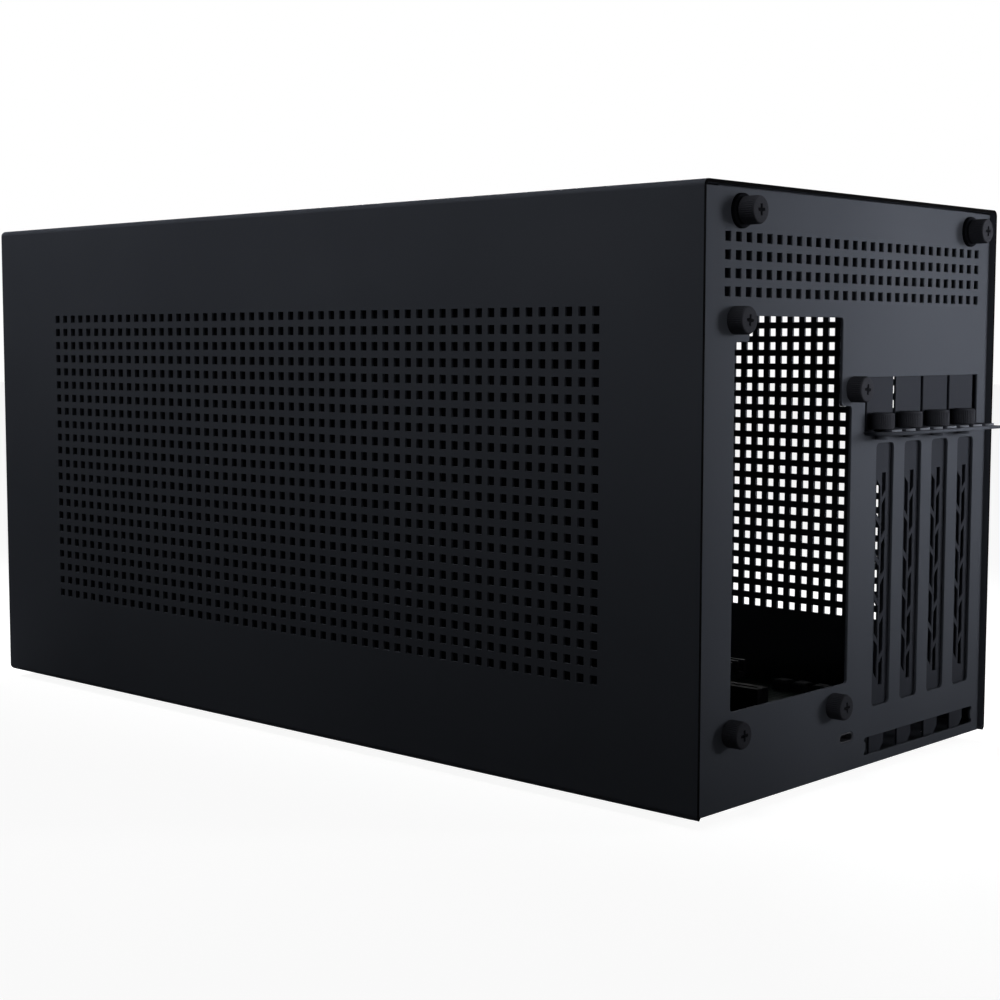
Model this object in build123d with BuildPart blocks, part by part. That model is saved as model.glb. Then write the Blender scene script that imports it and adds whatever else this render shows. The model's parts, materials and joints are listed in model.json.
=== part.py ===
"""External graphics card enclosure.

A steel chassis (base tray, rear panel, interface board, fan) stands inside a perforated steel cover.
Once the two captive thumbscrews are loose, the cover slides off towards the front.
Millimetres, +Z up, +Y to the rear. The origin is on the floor, under the middle of the whole.
Sizes called *_z are heights above the lower edge of the cover.
"""

import os

from build123d import *

os.makedirs("parts", exist_ok=True)

# Case and cover
case_width = 196.4
case_height = 209.4
case_length = 408.6
cover_sheet = 1.2
bend_radius = 2.4
front_edge = 1.2
lip_width = 7.0
slide_gap = 0.3
foot_height = 3.0

# Perforated fields of the cover: each hole stands for a group of the real ones at 6 mm pitch
side_field_length = 324.0
side_field_height = 132.0
side_field_shift = 1.0
side_columns = 12
side_rows = 5
intake_count = 4
field_hole = 14.4

# Rear panel
panel_sheet = 1.2
panel_bend = 1.0
panel_recess = 2.0
panel_side_gap = 0.5
panel_top_gap = 0.5
panel_flange = 14.0
panel_flange_side_gap = 2.0
panel_screw_inset = 20.0

# Vent across the top of the rear panel, with as many holes as there is room for
vent_pitch = 6.0
vent_hole = 3.25
vent_near_gap = 14.5
vent_far_gap = 10.3
vent_top_gap = 15.975
vent_psu_gap = 1.7

# Power supply: standard face, standing on its long side
psu_width = 86.0
psu_height = 150.0
psu_side_gap = 14.4
psu_bottom_z = 20.4
psu_hole_inset = 6.0
psu_low_hole_shift = 10.0
psu_high_hole_drop = 24.0
opening_side = 6.4
opening_bottom = 12.9
opening_top = 4.4
opening_corner = 1.4
near_ear_width = 8.4
near_ear_height = 8.7
far_ear_width = 6.7
far_ear_height = 31.6

# Expansion slots, as many as there is room for beside the power supply
slot_pitch = 20.32
slot_side_gap = 17.64
slot_psu_gap = 16.0
slot_width = 12.4
slot_bottom_z = 22.0
slot_corner = 1.2
slot_shelf_gap = 4.5
shelf_top_z = 124.7
shelf_reach = 10.5
shelf_relief = 0.8
boss_radius = 2.6
boss_height = 1.6
window_height = 19.9
window_near_gap = 3.55
window_far_gap = 1.25
tongue_slot_near_gap = 4.75
tongue_slot_far_gap = 4.5
tongue_slot_bottom_z = 4.1
tongue_slot_top_z = 10.8
tongue_slot_relief = 0.9

# Slot covers, whose plates stand off centre to their slots
blank_sheet = 0.9
blank_gap = 0.5
blank_offset = 2.0
blank_side_gap = 1.92
blank_overlap = 3.4
blank_corner = 1.0
blank_shoulder_z = 16.0
tongue_width = 10.2
tongue_taper = 3.6
tongue_end_z = 3.4
tongue_chamfer = 3.2
tab_reach = 8.8
tab_notch_radius = 2.4
edge_notch_width = 3.0
edge_notch_depth = 2.0
branch_rib = 1.2
branch_column = 2.65
branch_pitch = 15.0
branch_bar = 2.4
branch_rise = 2.8
branch_low_margin = 7.0
branch_high_margin = 11.2

# Thumbscrews, with the knurl of their heads drawn as flats
thumb_sides = 16
thumb_radius = 4.7
thumb_head = 6.2
thumb_chamfer = 0.6
shank_radius = 1.75
shank_hole_gap = 0.25
run_gap = 0.05
psu_shank = 7.0
slot_thumb_radius = 4.45
slot_thumb_head = 6.1
slot_thumb_side = 8.25
slot_thumb_out = 3.3
collar_radius = 5.8
collar_height = 1.5
cover_screw_near_inset = 23.3
cover_screw_far_inset = 18.5
cover_screw_drop = 9.1

# Cover bracket and nuts behind the rear panel
bracket_sheet = 1.2
bracket_side_gap = 11.0
bracket_depth = 12.0
bracket_edge = 6.6
nut_radius = 4.4
nut_height = 4.0

# Filter behind the perforated side next to the power supply
filter_margin = 4.0
filter_sheet = 0.5
filter_rim_height = 2.0
filter_rim_width = 3.0

# Base tray and feet
base_sheet = 1.2
base_bend = 1.0
base_flange = 6.9
base_front_gap = 1.0
flange_stop = 99.0
foot_sides = 24
foot_radius = 9.0
foot_inset_x = 26.0
foot_inset_y = 40.0

# Small hexagon-headed screws, whose round shanks and holes are drawn as flats
small_sides = 8
screw_radius = 1.4
screw_head_radius = 2.8
screw_head = 2.0
screw_gap = 0.1

# Interface board
board_top_z = 11.3
board_sheet = 1.6
board_port_margin = 26.3
board_slot_margin = 4.8
board_rear_gap = 6.0
board_length = 200.0
standoff_radius = 3.0
standoff_inset = 6.0
standoff_rear_inset = 16.0

# Card slot and its latch
card_offset = 6.4
card_slot_rear = 47.0
card_slot_length = 89.0
card_slot_width = 7.5
card_slot_height = 11.2
card_groove = 1.9
card_groove_depth = 8.0
card_groove_end = 2.5
card_key = 1.9
card_key_from_rear = 14.2
latch_yoke = 9.0
latch_width = 4.8
latch_gap = 0.3
latch_pin = 1.0
latch_pin_height = 4.0
latch_height = 15.0
latch_arm = 2.6
latch_hook = 1.9
latch_lever = 6.0

# Data port, with its round ends drawn as flats
port_psu_gap = 5.9
port_width = 8.94
port_height = 3.26
port_flat = 0.95
port_wall = 0.3
port_length = 9.0
port_hole_gap = 0.2
port_tongue_width = 6.7
port_tongue_sheet = 0.7
port_tongue_length = 6.0

# Power header, fan header, controller with heat sink, and inductors
header_columns = 4
header_rows = 2
header_pitch = 4.2
header_height = 12.8
header_cavity = 3.2
header_depth = 9.0
header_rim = 1.0
header_side_margin = 14.0
header_from_front = 18.0
fan_header_side_margin = 44.0
fan_header_from_front = 10.0
fan_header_length = 10.2
fan_header_width = 5.8
fan_header_height = 6.0
fan_header_wall = 0.8
chip_size = 16.0
chip_height = 1.5
chip_from_rear = 112.0
sink_card_gap = 17.4
sink_width = 38.0
sink_length = 44.0
sink_base = 2.5
sink_height = 7.5
sink_fins = 9
sink_fin = 1.2
coil_size = 7.0
coil_height = 4.0
coil_count = 5
coil_pitch = 9.5
coil_side_margin = 18.0
coil_from_rear = 48.0
coil_chamfer = 0.8

# Fan and its bracket, with round forms drawn as flats
fan_sides = 24
fan_size = 120.0
fan_depth = 25.0
fan_corner = 4.0
fan_flange = 4.0
fan_bore_radius = 57.8
fan_wall = 1.6
fan_hole_pitch = 105.0
fan_hole_radius = 2.2
hub_radius = 21.0
hub_height = 18.0
hub_wall = 2.0
hub_front = 2.0
hub_chamfer = 1.5
motor_radius = 20.5
motor_sheet = 3.5
bearing_radius = 5.0
bearing_height = 12.0
shaft_radius = 1.5
strut_width = 4.5
strut_count = 4
blade_count = 9
blade_sheet = 1.4
blade_chord = 24.0
blade_camber = 2.6
blade_flats = 4
blade_angle = 36.0
blade_root_inset = 4.0
blade_tip_gap = 2.4
fan_bracket_sheet = 1.2
fan_bracket_gap = 16.0
fan_bracket_side = 15.0
fan_bracket_foot = 14.0
fan_bracket_bore = 57.0
fan_bracket_bend = 1.0
fan_bracket_screw_inset = 25.0

# Rail under the power supply
rail_sheet = 1.2
rail_leaf = 14.0
rail_board_gap = 2.0
rail_gap = 0.3
rail_from_rear = 122.0
rail_screw_inset = 8.0

# Places that follow from the sizes
CENTRE_UP = (Align.CENTER, Align.MIN)
CENTRE_DOWN = (Align.CENTER, Align.MAX)
case_bottom = foot_height
case_top = case_bottom + case_height
case_mid_z = (case_bottom + case_top) / 2
overall_length = case_length - panel_recess + shelf_reach
front_y = -overall_length / 2
cover_rear_y = front_y + case_length
case_mid_y = front_y + case_length / 2
side_field_y = case_mid_y + side_field_shift
panel_y = cover_rear_y - panel_recess
panel_inner_y = panel_y - panel_sheet
inner_width = case_width - 2 * cover_sheet
inner_top = case_top - cover_sheet
inner_bottom = case_bottom + cover_sheet
floor_bottom = inner_bottom + slide_gap
floor_top = floor_bottom + base_sheet
psu_side_x = case_width / 2 - psu_side_gap
psu_far_x = psu_side_x - psu_width
psu_bottom = case_bottom + psu_bottom_z
psu_top = psu_bottom + psu_height
last_slot_x = slot_side_gap - case_width / 2
slot_count = int((psu_far_x - slot_psu_gap - last_slot_x) / slot_pitch) + 1
slot_xs = [last_slot_x + slot_pitch * step for step in reversed(range(slot_count))]
first_slot_x = slot_xs[0]
slot_bottom = case_bottom + slot_bottom_z
shelf_top = case_bottom + shelf_top_z
slot_top = shelf_top - slot_shelf_gap
shank_hole = shank_radius + shank_hole_gap
small_hole = screw_radius + screw_gap
port_x = psu_far_x + port_psu_gap
board_top = case_bottom + board_top_z
board_bottom = board_top - board_sheet
board_left_x = port_x + board_port_margin
board_right_x = last_slot_x - board_slot_margin
board_rear_y = panel_inner_y - board_rear_gap
board_front_y = board_rear_y - board_length
port_z = board_top + port_height / 2
fan_bracket_y = front_y + cover_sheet + fan_bracket_gap
fan_y = fan_bracket_y + fan_bracket_sheet
fan_plane = Plane(origin=(0, fan_y, case_mid_z), x_dir=(1, 0, 0), z_dir=(0, 1, 0))
bracket_half = fan_size / 2 + fan_bracket_side
rail_y = panel_inner_y - rail_from_rear
rail_left_x = psu_side_x
rail_right_x = board_left_x + rail_board_gap
flange_width = inner_width - 2 * lip_width - 2 * panel_flange_side_gap

# Screw places
cover_screw_z = case_top - cover_screw_drop
cover_screw_xs = [
    case_width / 2 - cover_screw_near_inset,
    cover_screw_far_inset - case_width / 2,
]
cover_screw_places = [(x, cover_screw_z) for x in cover_screw_xs]
psu_near_x = psu_side_x - psu_hole_inset
psu_inner_x = psu_far_x + psu_hole_inset
psu_low_z = psu_bottom + psu_hole_inset
psu_high_z = psu_top - psu_hole_inset
psu_holes = [
    (psu_near_x, psu_low_z),
    (psu_near_x, psu_high_z),
    (psu_inner_x + psu_low_hole_shift, psu_low_z),
    (psu_inner_x, psu_high_z - psu_high_hole_drop),
]
slot_thumb_places = [(x + slot_thumb_side, panel_y + slot_thumb_out) for x in slot_xs]
panel_screw_y = panel_inner_y - panel_flange / 2
panel_screw_x = flange_width / 2 - panel_screw_inset
panel_screw_places = [(-panel_screw_x, panel_screw_y), (panel_screw_x, panel_screw_y)]
bracket_screw_y = fan_bracket_y - fan_bracket_foot / 2
bracket_screw_x = bracket_half - fan_bracket_screw_inset
bracket_screw_places = [(-bracket_screw_x, bracket_screw_y), (bracket_screw_x, bracket_screw_y)]
rail_screw_y = rail_y + (rail_sheet + rail_leaf) / 2
rail_screw_places = [
    (rail_left_x - rail_screw_inset, rail_screw_y),
    (rail_right_x + rail_screw_inset, rail_screw_y),
]
floor_hole_places = panel_screw_places + bracket_screw_places + rail_screw_places
standoff_places = [
    (x, y)
    for x in (board_right_x + standoff_inset, board_left_x - standoff_inset)
    for y in (board_rear_y - standoff_rear_inset, board_front_y + standoff_inset)
]
fan_hole_half = fan_hole_pitch / 2
fan_screw_places = [
    (x, case_mid_z + z)
    for x in (-fan_hole_half, fan_hole_half)
    for z in (-fan_hole_half, fan_hole_half)
]


def across(y):
    """Plane across the case at depth y, with X and Z as its axes. Positive amounts run to the front."""
    return Plane.XZ.offset(-y)


def level(z):
    """Flat plane at height z. Positive amounts run upwards."""
    return Plane.XY.offset(z)


def lengthways(x):
    """Plane along the case at x, with Y and Z as its axes. Positive amounts run to +X."""
    return Plane.YZ.offset(x)


def facing_rear(x, z, y):
    """Place whose own Z axis points to the rear."""
    return Location((x, y, z), (-90, 0, 0))


def facing_front(x, z, y):
    """Place whose own Z axis points to the front."""
    return Location((x, y, z), (90, 0, 0))


def save(builder, name):
    builder.part.label = name
    export_step(builder.part, f"parts/{name}.step")


def thumbscrew(head_radius, head, shank, turns=False):
    """Thumbscrew on the Z axis: the head stands on the plane and the shank goes down from it."""
    with BuildPart() as screw:
        with BuildSketch(level(0)):
            RegularPolygon(head_radius, thumb_sides)
        extrude(amount=head)
        chamfer(screw.edges().group_by(Axis.Z)[-1], thumb_chamfer)
        with BuildSketch(level(0)):
            if turns:
                Circle(shank_radius)
            else:
                RegularPolygon(shank_radius, small_sides)
        extrude(amount=-shank)
    return screw.part


def small_screw(shank):
    """Hexagon-headed screw on the Z axis: the head stands on the plane, the shank goes down from it."""
    with BuildPart() as screw:
        with BuildSketch(level(0)):
            RegularPolygon(screw_head_radius, 6)
        extrude(amount=screw_head)
        with BuildSketch(level(0)):
            RegularPolygon(screw_radius, small_sides)
        extrude(amount=-shank)
    return screw.part


def port_outline(y, margin):
    """Sketch of the port's oblong outline at depth y, grown by a margin."""
    with BuildSketch(across(y)) as outline:
        with Locations((port_x, port_z)):
            Rectangle(port_width + 2 * margin, port_height + 2 * margin)
        chamfer(outline.vertices(), port_flat)
    return outline.sketch


# Outer cover: front, top and both sides in one welded sheet, with lips under the base
with BuildPart() as outer_cover:
    with BuildSketch(across(cover_rear_y)):
        with Locations((0, case_mid_z)):
            RectangleRounded(case_width, case_height, bend_radius)
    extrude(amount=case_length)
    chamfer(outer_cover.faces().sort_by(Axis.Y)[0].edges(), front_edge)
    with BuildSketch(across(cover_rear_y)):
        with Locations((0, case_mid_z)):
            RectangleRounded(inner_width, inner_top - inner_bottom, bend_radius - cover_sheet)
    extrude(amount=case_length - cover_sheet, mode=Mode.SUBTRACT)
    with BuildSketch(level(case_bottom)):
        with Locations((0, front_y + cover_sheet)):
            Rectangle(inner_width - 2 * lip_width, case_length, align=CENTRE_UP)
    extrude(amount=cover_sheet, mode=Mode.SUBTRACT)
    with BuildSketch(across(cover_rear_y)):
        with Locations((0, case_bottom)):
            Rectangle(inner_width, bend_radius, align=CENTRE_UP)
    extrude(amount=panel_recess + panel_sheet + slide_gap, mode=Mode.SUBTRACT)
    with BuildSketch(lengthways(0)):
        with Locations((side_field_y, case_mid_z)):
            with GridLocations(
                side_field_length / side_columns,
                side_field_height / side_rows,
                side_columns,
                side_rows,
            ):
                Rectangle(field_hole, field_hole)
    extrude(amount=case_width, both=True, mode=Mode.SUBTRACT)
    with BuildSketch(across(front_y + cover_sheet)):
        with Locations((0, case_mid_z)):
            with GridLocations(
                fan_size / intake_count, fan_size / intake_count, intake_count, intake_count
            ):
                Rectangle(field_hole, field_hole)
    extrude(amount=cover_sheet, mode=Mode.SUBTRACT)
save(outer_cover, "outer_cover")

# Angle bracket under the top of the cover, with the leaf that the captive screws pull on
bracket_rear_y = panel_inner_y - slide_gap
bracket_front_y = bracket_rear_y - bracket_depth
leaf_bottom = cover_screw_z - bracket_edge
with BuildPart() as cover_bracket:
    with BuildSketch(lengthways(0)):
        with BuildLine():
            Polyline(
                (bracket_front_y, inner_top),
                (bracket_rear_y, inner_top),
                (bracket_rear_y, leaf_bottom),
                (bracket_rear_y - bracket_sheet, leaf_bottom),
                (bracket_rear_y - bracket_sheet, inner_top - bracket_sheet),
                (bracket_front_y, inner_top - bracket_sheet),
                close=True,
            )
        make_face()
    extrude(amount=inner_width / 2 - bracket_side_gap, both=True)
    with BuildSketch(across(bracket_rear_y)):
        with Locations(*cover_screw_places):
            RegularPolygon(shank_hole, small_sides, major_radius=False)
    extrude(amount=bracket_sheet, mode=Mode.SUBTRACT)
save(cover_bracket, "cover_bracket")

# Clinch nuts on the bracket
with BuildPart() as clinch_nuts:
    with BuildSketch(across(bracket_rear_y - bracket_sheet)):
        with Locations(*cover_screw_places):
            RegularPolygon(nut_radius, 6)
            RegularPolygon(
                shank_radius + screw_gap, small_sides, major_radius=False, mode=Mode.SUBTRACT
            )
    extrude(amount=nut_height)
save(clinch_nuts, "clinch_nuts")

# Filter: fine mesh in a moulded rim, against the inside of the cover
filter_length = side_field_length + 2 * filter_margin
filter_height = side_field_height + 2 * filter_margin
with BuildPart() as side_filter:
    with BuildSketch(lengthways(inner_width / 2)):
        with Locations((side_field_y, case_mid_z)):
            Rectangle(filter_length, filter_height)
    extrude(amount=-filter_rim_height)
    with BuildSketch(lengthways(inner_width / 2 - filter_sheet)):
        with Locations((side_field_y, case_mid_z)):
            Rectangle(filter_length - 2 * filter_rim_width, filter_height - 2 * filter_rim_width)
    extrude(amount=-filter_rim_height, mode=Mode.SUBTRACT)
save(side_filter, "side_filter")

# Base tray: floor with turned-up flanges that stop short of the rear panel
base_width = inner_width - 2 * slide_gap
base_length = panel_inner_y - front_y - cover_sheet - base_front_gap
with BuildPart() as base_tray:
    with BuildSketch(across(panel_inner_y)) as tray:
        with Locations((0, floor_bottom)):
            Rectangle(base_width, base_flange, align=CENTRE_UP)
        fillet(tray.vertices().group_by(Axis.Y)[0], base_bend)
        with Locations((0, floor_top)):
            Rectangle(base_width - 2 * base_sheet, base_flange, align=CENTRE_UP, mode=Mode.SUBTRACT)
    extrude(amount=base_length)
    with BuildSketch(across(panel_inner_y)):
        with Locations((0, floor_top)):
            Rectangle(base_width, base_flange, align=CENTRE_UP)
    extrude(amount=flange_stop, mode=Mode.SUBTRACT)
    with BuildSketch(level(floor_bottom)):
        with Locations(*floor_hole_places):
            RegularPolygon(small_hole, small_sides)
    extrude(amount=base_sheet, mode=Mode.SUBTRACT)
save(base_tray, "base_tray")

# Rubber feet
with BuildPart() as rubber_feet:
    with BuildSketch(level(0)):
        with Locations((0, case_mid_y)):
            with GridLocations(
                case_width - 2 * foot_inset_x, case_length - 2 * foot_inset_y, 2, 2
            ):
                RegularPolygon(foot_radius, foot_sides)
    extrude(amount=floor_bottom)
save(rubber_feet, "rubber_feet")

# Rear panel: sheet with a flange folded in under the base and a shelf folded out below the window
blank_width = slot_pitch - blank_side_gap
window_left = first_slot_x + blank_offset + blank_width / 2 + window_near_gap
window_right = last_slot_x + blank_offset - blank_width / 2 - window_far_gap
window_width = window_left - window_right
window_mid = (window_left + window_right) / 2
tongue_slot_left = first_slot_x + tongue_width / 2 + tongue_slot_near_gap
tongue_slot_right = last_slot_x - tongue_width / 2 - tongue_slot_far_gap
tongue_slot_low = case_bottom + tongue_slot_bottom_z
tongue_slot_high = case_bottom + tongue_slot_top_z
opening_left = psu_side_x - opening_side
opening_right = psu_far_x + opening_side
opening_low = psu_bottom + opening_bottom
opening_high = psu_top - opening_top
panel_width = inner_width - 2 * panel_side_gap
panel_top = inner_top - panel_top_gap
panel_bottom = floor_bottom - panel_sheet
vent_room = case_width - vent_near_gap - vent_far_gap - vent_hole
vent_columns = int(vent_room / vent_pitch) + 1
vent_head_room = case_top - psu_top - vent_top_gap - vent_psu_gap - vent_hole
vent_rows = int(vent_head_room / vent_pitch) + 1
vent_x = (vent_far_gap - vent_near_gap) / 2
vent_z = case_top - vent_top_gap - ((vent_rows - 1) * vent_pitch + vent_hole) / 2
with BuildPart() as rear_panel:
    with BuildSketch(across(panel_y)):
        with Locations((0, panel_bottom)):
            Rectangle(panel_width, panel_top - panel_bottom, align=CENTRE_UP)
        with Locations((vent_x, vent_z)):
            with GridLocations(vent_pitch, vent_pitch, vent_columns, vent_rows):
                Rectangle(vent_hole, vent_hole, mode=Mode.SUBTRACT)
        with Locations(*psu_holes, *cover_screw_places):
            RegularPolygon(shank_hole, small_sides, major_radius=False, mode=Mode.SUBTRACT)
        with Locations((window_mid, shelf_top)):
            Rectangle(window_width, window_height, align=CENTRE_UP, mode=Mode.SUBTRACT)
        with Locations((window_left, shelf_top), (window_right, shelf_top)):
            RegularPolygon(shelf_relief, small_sides, mode=Mode.SUBTRACT)
        with Locations(((tongue_slot_left + tongue_slot_right) / 2, tongue_slot_low)):
            Rectangle(
                tongue_slot_left - tongue_slot_right,
                tongue_slot_high - tongue_slot_low,
                align=CENTRE_UP,
                mode=Mode.SUBTRACT,
            )
        with Locations(
            (tongue_slot_left, tongue_slot_low + tongue_slot_relief),
            (tongue_slot_left, tongue_slot_high - tongue_slot_relief),
            (tongue_slot_right, tongue_slot_low + tongue_slot_relief),
            (tongue_slot_right, tongue_slot_high - tongue_slot_relief),
        ):
            RegularPolygon(tongue_slot_relief, small_sides, mode=Mode.SUBTRACT)
    extrude(amount=panel_sheet)
    with BuildSketch(across(panel_y)) as slots:
        with Locations(*[(x, slot_bottom) for x in slot_xs]):
            Rectangle(slot_width, slot_top - slot_bottom, align=CENTRE_UP)
        chamfer(slots.vertices(), slot_corner)
    extrude(amount=panel_sheet, mode=Mode.SUBTRACT)
    extrude(port_outline(panel_y, port_hole_gap), amount=panel_sheet, mode=Mode.SUBTRACT)
    with BuildSketch(across(panel_y)) as opening:
        with BuildLine():
            Polyline(
                (opening_left, opening_low),
                (opening_left, opening_high - near_ear_height),
                (opening_left - near_ear_width, opening_high - near_ear_height),
                (opening_left - near_ear_width, opening_high),
                (opening_right + far_ear_width, opening_high),
                (opening_right + far_ear_width, opening_high - far_ear_height),
                (opening_right, opening_high - far_ear_height),
                (opening_right, opening_low),
                close=True,
            )
        make_face()
        fillet(opening.vertices(), opening_corner)
    extrude(amount=panel_sheet, mode=Mode.SUBTRACT)
    with BuildSketch(level(panel_bottom)):
        with Locations((0, panel_inner_y)):
            Rectangle(flange_width, panel_flange, align=CENTRE_DOWN)
        with Locations(*panel_screw_places):
            RegularPolygon(small_hole, small_sides, mode=Mode.SUBTRACT)
    extrude(amount=panel_sheet)
    with BuildSketch(level(shelf_top - panel_sheet)):
        with Locations((window_mid, panel_y)):
            Rectangle(window_width, shelf_reach, align=CENTRE_UP)
    extrude(amount=panel_sheet)
    with BuildSketch(level(shelf_top - panel_sheet)):
        with Locations(*slot_thumb_places):
            RegularPolygon(boss_radius, small_sides)
    extrude(amount=-boss_height)
    with BuildSketch(level(shelf_top)):
        with Locations(*slot_thumb_places):
            RegularPolygon(shank_hole, small_sides)
    extrude(amount=-panel_sheet - boss_height, mode=Mode.SUBTRACT)
    fillet(
        rear_panel.edges().filter_by(Axis.X).group_by(Axis.Z)[0].sort_by(Axis.Y)[-1],
        panel_bend,
    )
save(rear_panel, "rear_panel")

# One slot cover on the YZ plane: plate with branching vents, tapered tongue, tab on the shelf
blank_face_y = panel_inner_y - blank_gap
blank_top = shelf_top + window_height + blank_overlap
blank_left = blank_offset + blank_width / 2
blank_right = blank_offset - blank_width / 2
shoulder = case_bottom + blank_shoulder_z
tongue_end = case_bottom + tongue_end_z
tab_rear_y = panel_y + tab_reach
tab_top = shelf_top + blank_sheet
branch_low = slot_bottom + branch_low_margin
branch_high = slot_top - branch_high_margin
branch_rows = int((branch_high - branch_low) / branch_pitch) + 2
branch_outer = branch_rib / 2 + branch_column
with BuildPart() as slot_cover_form:
    with BuildSketch(across(blank_face_y)) as plate:
        with BuildLine():
            Polyline(
                (blank_left, blank_top),
                (blank_left, shoulder),
                (tongue_width / 2, shoulder - tongue_taper),
                (tongue_width / 2, tongue_end),
                (tongue_chamfer - tongue_width / 2, tongue_end),
                (-tongue_width / 2, tongue_end + tongue_chamfer),
                (-tongue_width / 2, shoulder - tongue_taper),
                (blank_right, shoulder),
                (blank_right, blank_top),
                close=True,
            )
        make_face()
        chamfer(plate.vertices().group_by(Axis.Y)[-1], blank_corner)
    extrude(amount=blank_sheet)
    with BuildSketch(across(blank_face_y)):
        for side, start in ((1, branch_low - branch_rise), (-1, branch_low - branch_pitch / 2)):
            for row in range(branch_rows):
                low = start + row * branch_pitch
                high = low + branch_pitch - branch_bar
                Polygon(
                    (side * branch_rib / 2, low),
                    (side * branch_outer, low + branch_rise),
                    (side * branch_outer, high + branch_rise),
                    (side * branch_rib / 2, high),
                    align=None,
                )
        with Locations((0, branch_low)):
            Rectangle(
                2 * branch_outer, branch_high - branch_low, align=CENTRE_UP, mode=Mode.INTERSECT
            )
    extrude(amount=blank_sheet, mode=Mode.SUBTRACT)
    with BuildSketch(level(shelf_top)) as tab:
        with Locations((blank_offset, blank_face_y)):
            Rectangle(blank_width, tab_rear_y - blank_face_y, align=CENTRE_UP)
        chamfer(tab.vertices().group_by(Axis.Y)[-1], blank_corner)
        with Locations((blank_offset, tab_rear_y)):
            Rectangle(edge_notch_width, edge_notch_depth, align=CENTRE_DOWN, mode=Mode.SUBTRACT)
        with Locations((slot_thumb_side, panel_y + slot_thumb_out)):
            RegularPolygon(tab_notch_radius, small_sides, mode=Mode.SUBTRACT)
            Rectangle(
                blank_width,
                2 * shank_hole,
                align=(Align.MIN, Align.CENTER),
                mode=Mode.SUBTRACT,
            )
    extrude(amount=blank_sheet)

for number, x in enumerate(slot_xs, start=1):
    with BuildPart() as slot_cover:
        with Locations((x, 0, 0)):
            add(slot_cover_form.part)
    save(slot_cover, f"slot_cover_{number}")

# Thumbscrews that hold the slot covers on the shelf
slot_thumb = thumbscrew(
    slot_thumb_radius, slot_thumb_head, blank_sheet + panel_sheet + boss_height
)
with BuildPart() as slot_screws:
    with Locations(*[(x, y, tab_top) for x, y in slot_thumb_places]):
        add(slot_thumb)
save(slot_screws, "slot_screws")

# Thumbscrews for the power supply
psu_thumb = thumbscrew(thumb_radius, thumb_head, psu_shank)
with BuildPart() as psu_screws:
    with Locations(*[facing_rear(x, z, panel_y) for x, z in psu_holes]):
        add(psu_thumb)
save(psu_screws, "psu_screws")

# Captive thumbscrews of the cover, each in its collar
cover_shank = collar_height + panel_sheet + slide_gap + bracket_sheet + nut_height
cover_thumb = thumbscrew(thumb_radius, thumb_head, cover_shank, turns=True)
for name, x in zip(("cover_screw_left", "cover_screw_right"), cover_screw_xs):
    with BuildPart() as cover_screw:
        with Locations(facing_rear(x, cover_screw_z, panel_y + collar_height + slide_gap)):
            add(cover_thumb)
    save(cover_screw, name)

with BuildPart() as screw_collars:
    with BuildSketch(across(panel_y + collar_height)):
        with Locations(*cover_screw_places):
            RegularPolygon(collar_radius, thumb_sides)
            Circle(shank_radius + run_gap, mode=Mode.SUBTRACT)
    extrude(amount=collar_height)
save(screw_collars, "screw_collars")

# Interface board on standoffs
with BuildPart() as interface_board:
    with BuildSketch(level(board_bottom)):
        with Locations(((board_left_x + board_right_x) / 2, board_rear_y)):
            Rectangle(board_left_x - board_right_x, board_length, align=CENTRE_DOWN)
        with Locations(*standoff_places):
            RegularPolygon(small_hole, small_sides, mode=Mode.SUBTRACT)
    extrude(amount=board_sheet)
save(interface_board, "interface_board")

standoff_height = board_bottom - floor_top
with BuildPart() as standoffs:
    with BuildSketch(level(floor_top)):
        with Locations(*standoff_places):
            RegularPolygon(standoff_radius, 6)
            RegularPolygon(small_hole, small_sides, mode=Mode.SUBTRACT)
    extrude(amount=standoff_height)
save(standoffs, "standoffs")

board_screw = small_screw(board_sheet + standoff_height)
with BuildPart() as board_screws:
    with Locations(*[(x, y, board_top) for x, y in standoff_places]):
        add(board_screw)
save(board_screws, "board_screws")

# Screws through the base: up through the rear panel's flange, down through fan bracket and rail
flange_screw = small_screw(panel_sheet + base_sheet)
bracket_screw = small_screw(fan_bracket_sheet + base_sheet)
rail_screw = small_screw(rail_sheet + base_sheet)
with BuildPart() as base_screws:
    with Locations(*[Location((x, y, panel_bottom), (180, 0, 0)) for x, y in panel_screw_places]):
        add(flange_screw)
    with Locations(*[(x, y, floor_top + fan_bracket_sheet) for x, y in bracket_screw_places]):
        add(bracket_screw)
    with Locations(*[(x, y, floor_top + rail_sheet) for x, y in rail_screw_places]):
        add(rail_screw)
save(base_screws, "base_screws")

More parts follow.
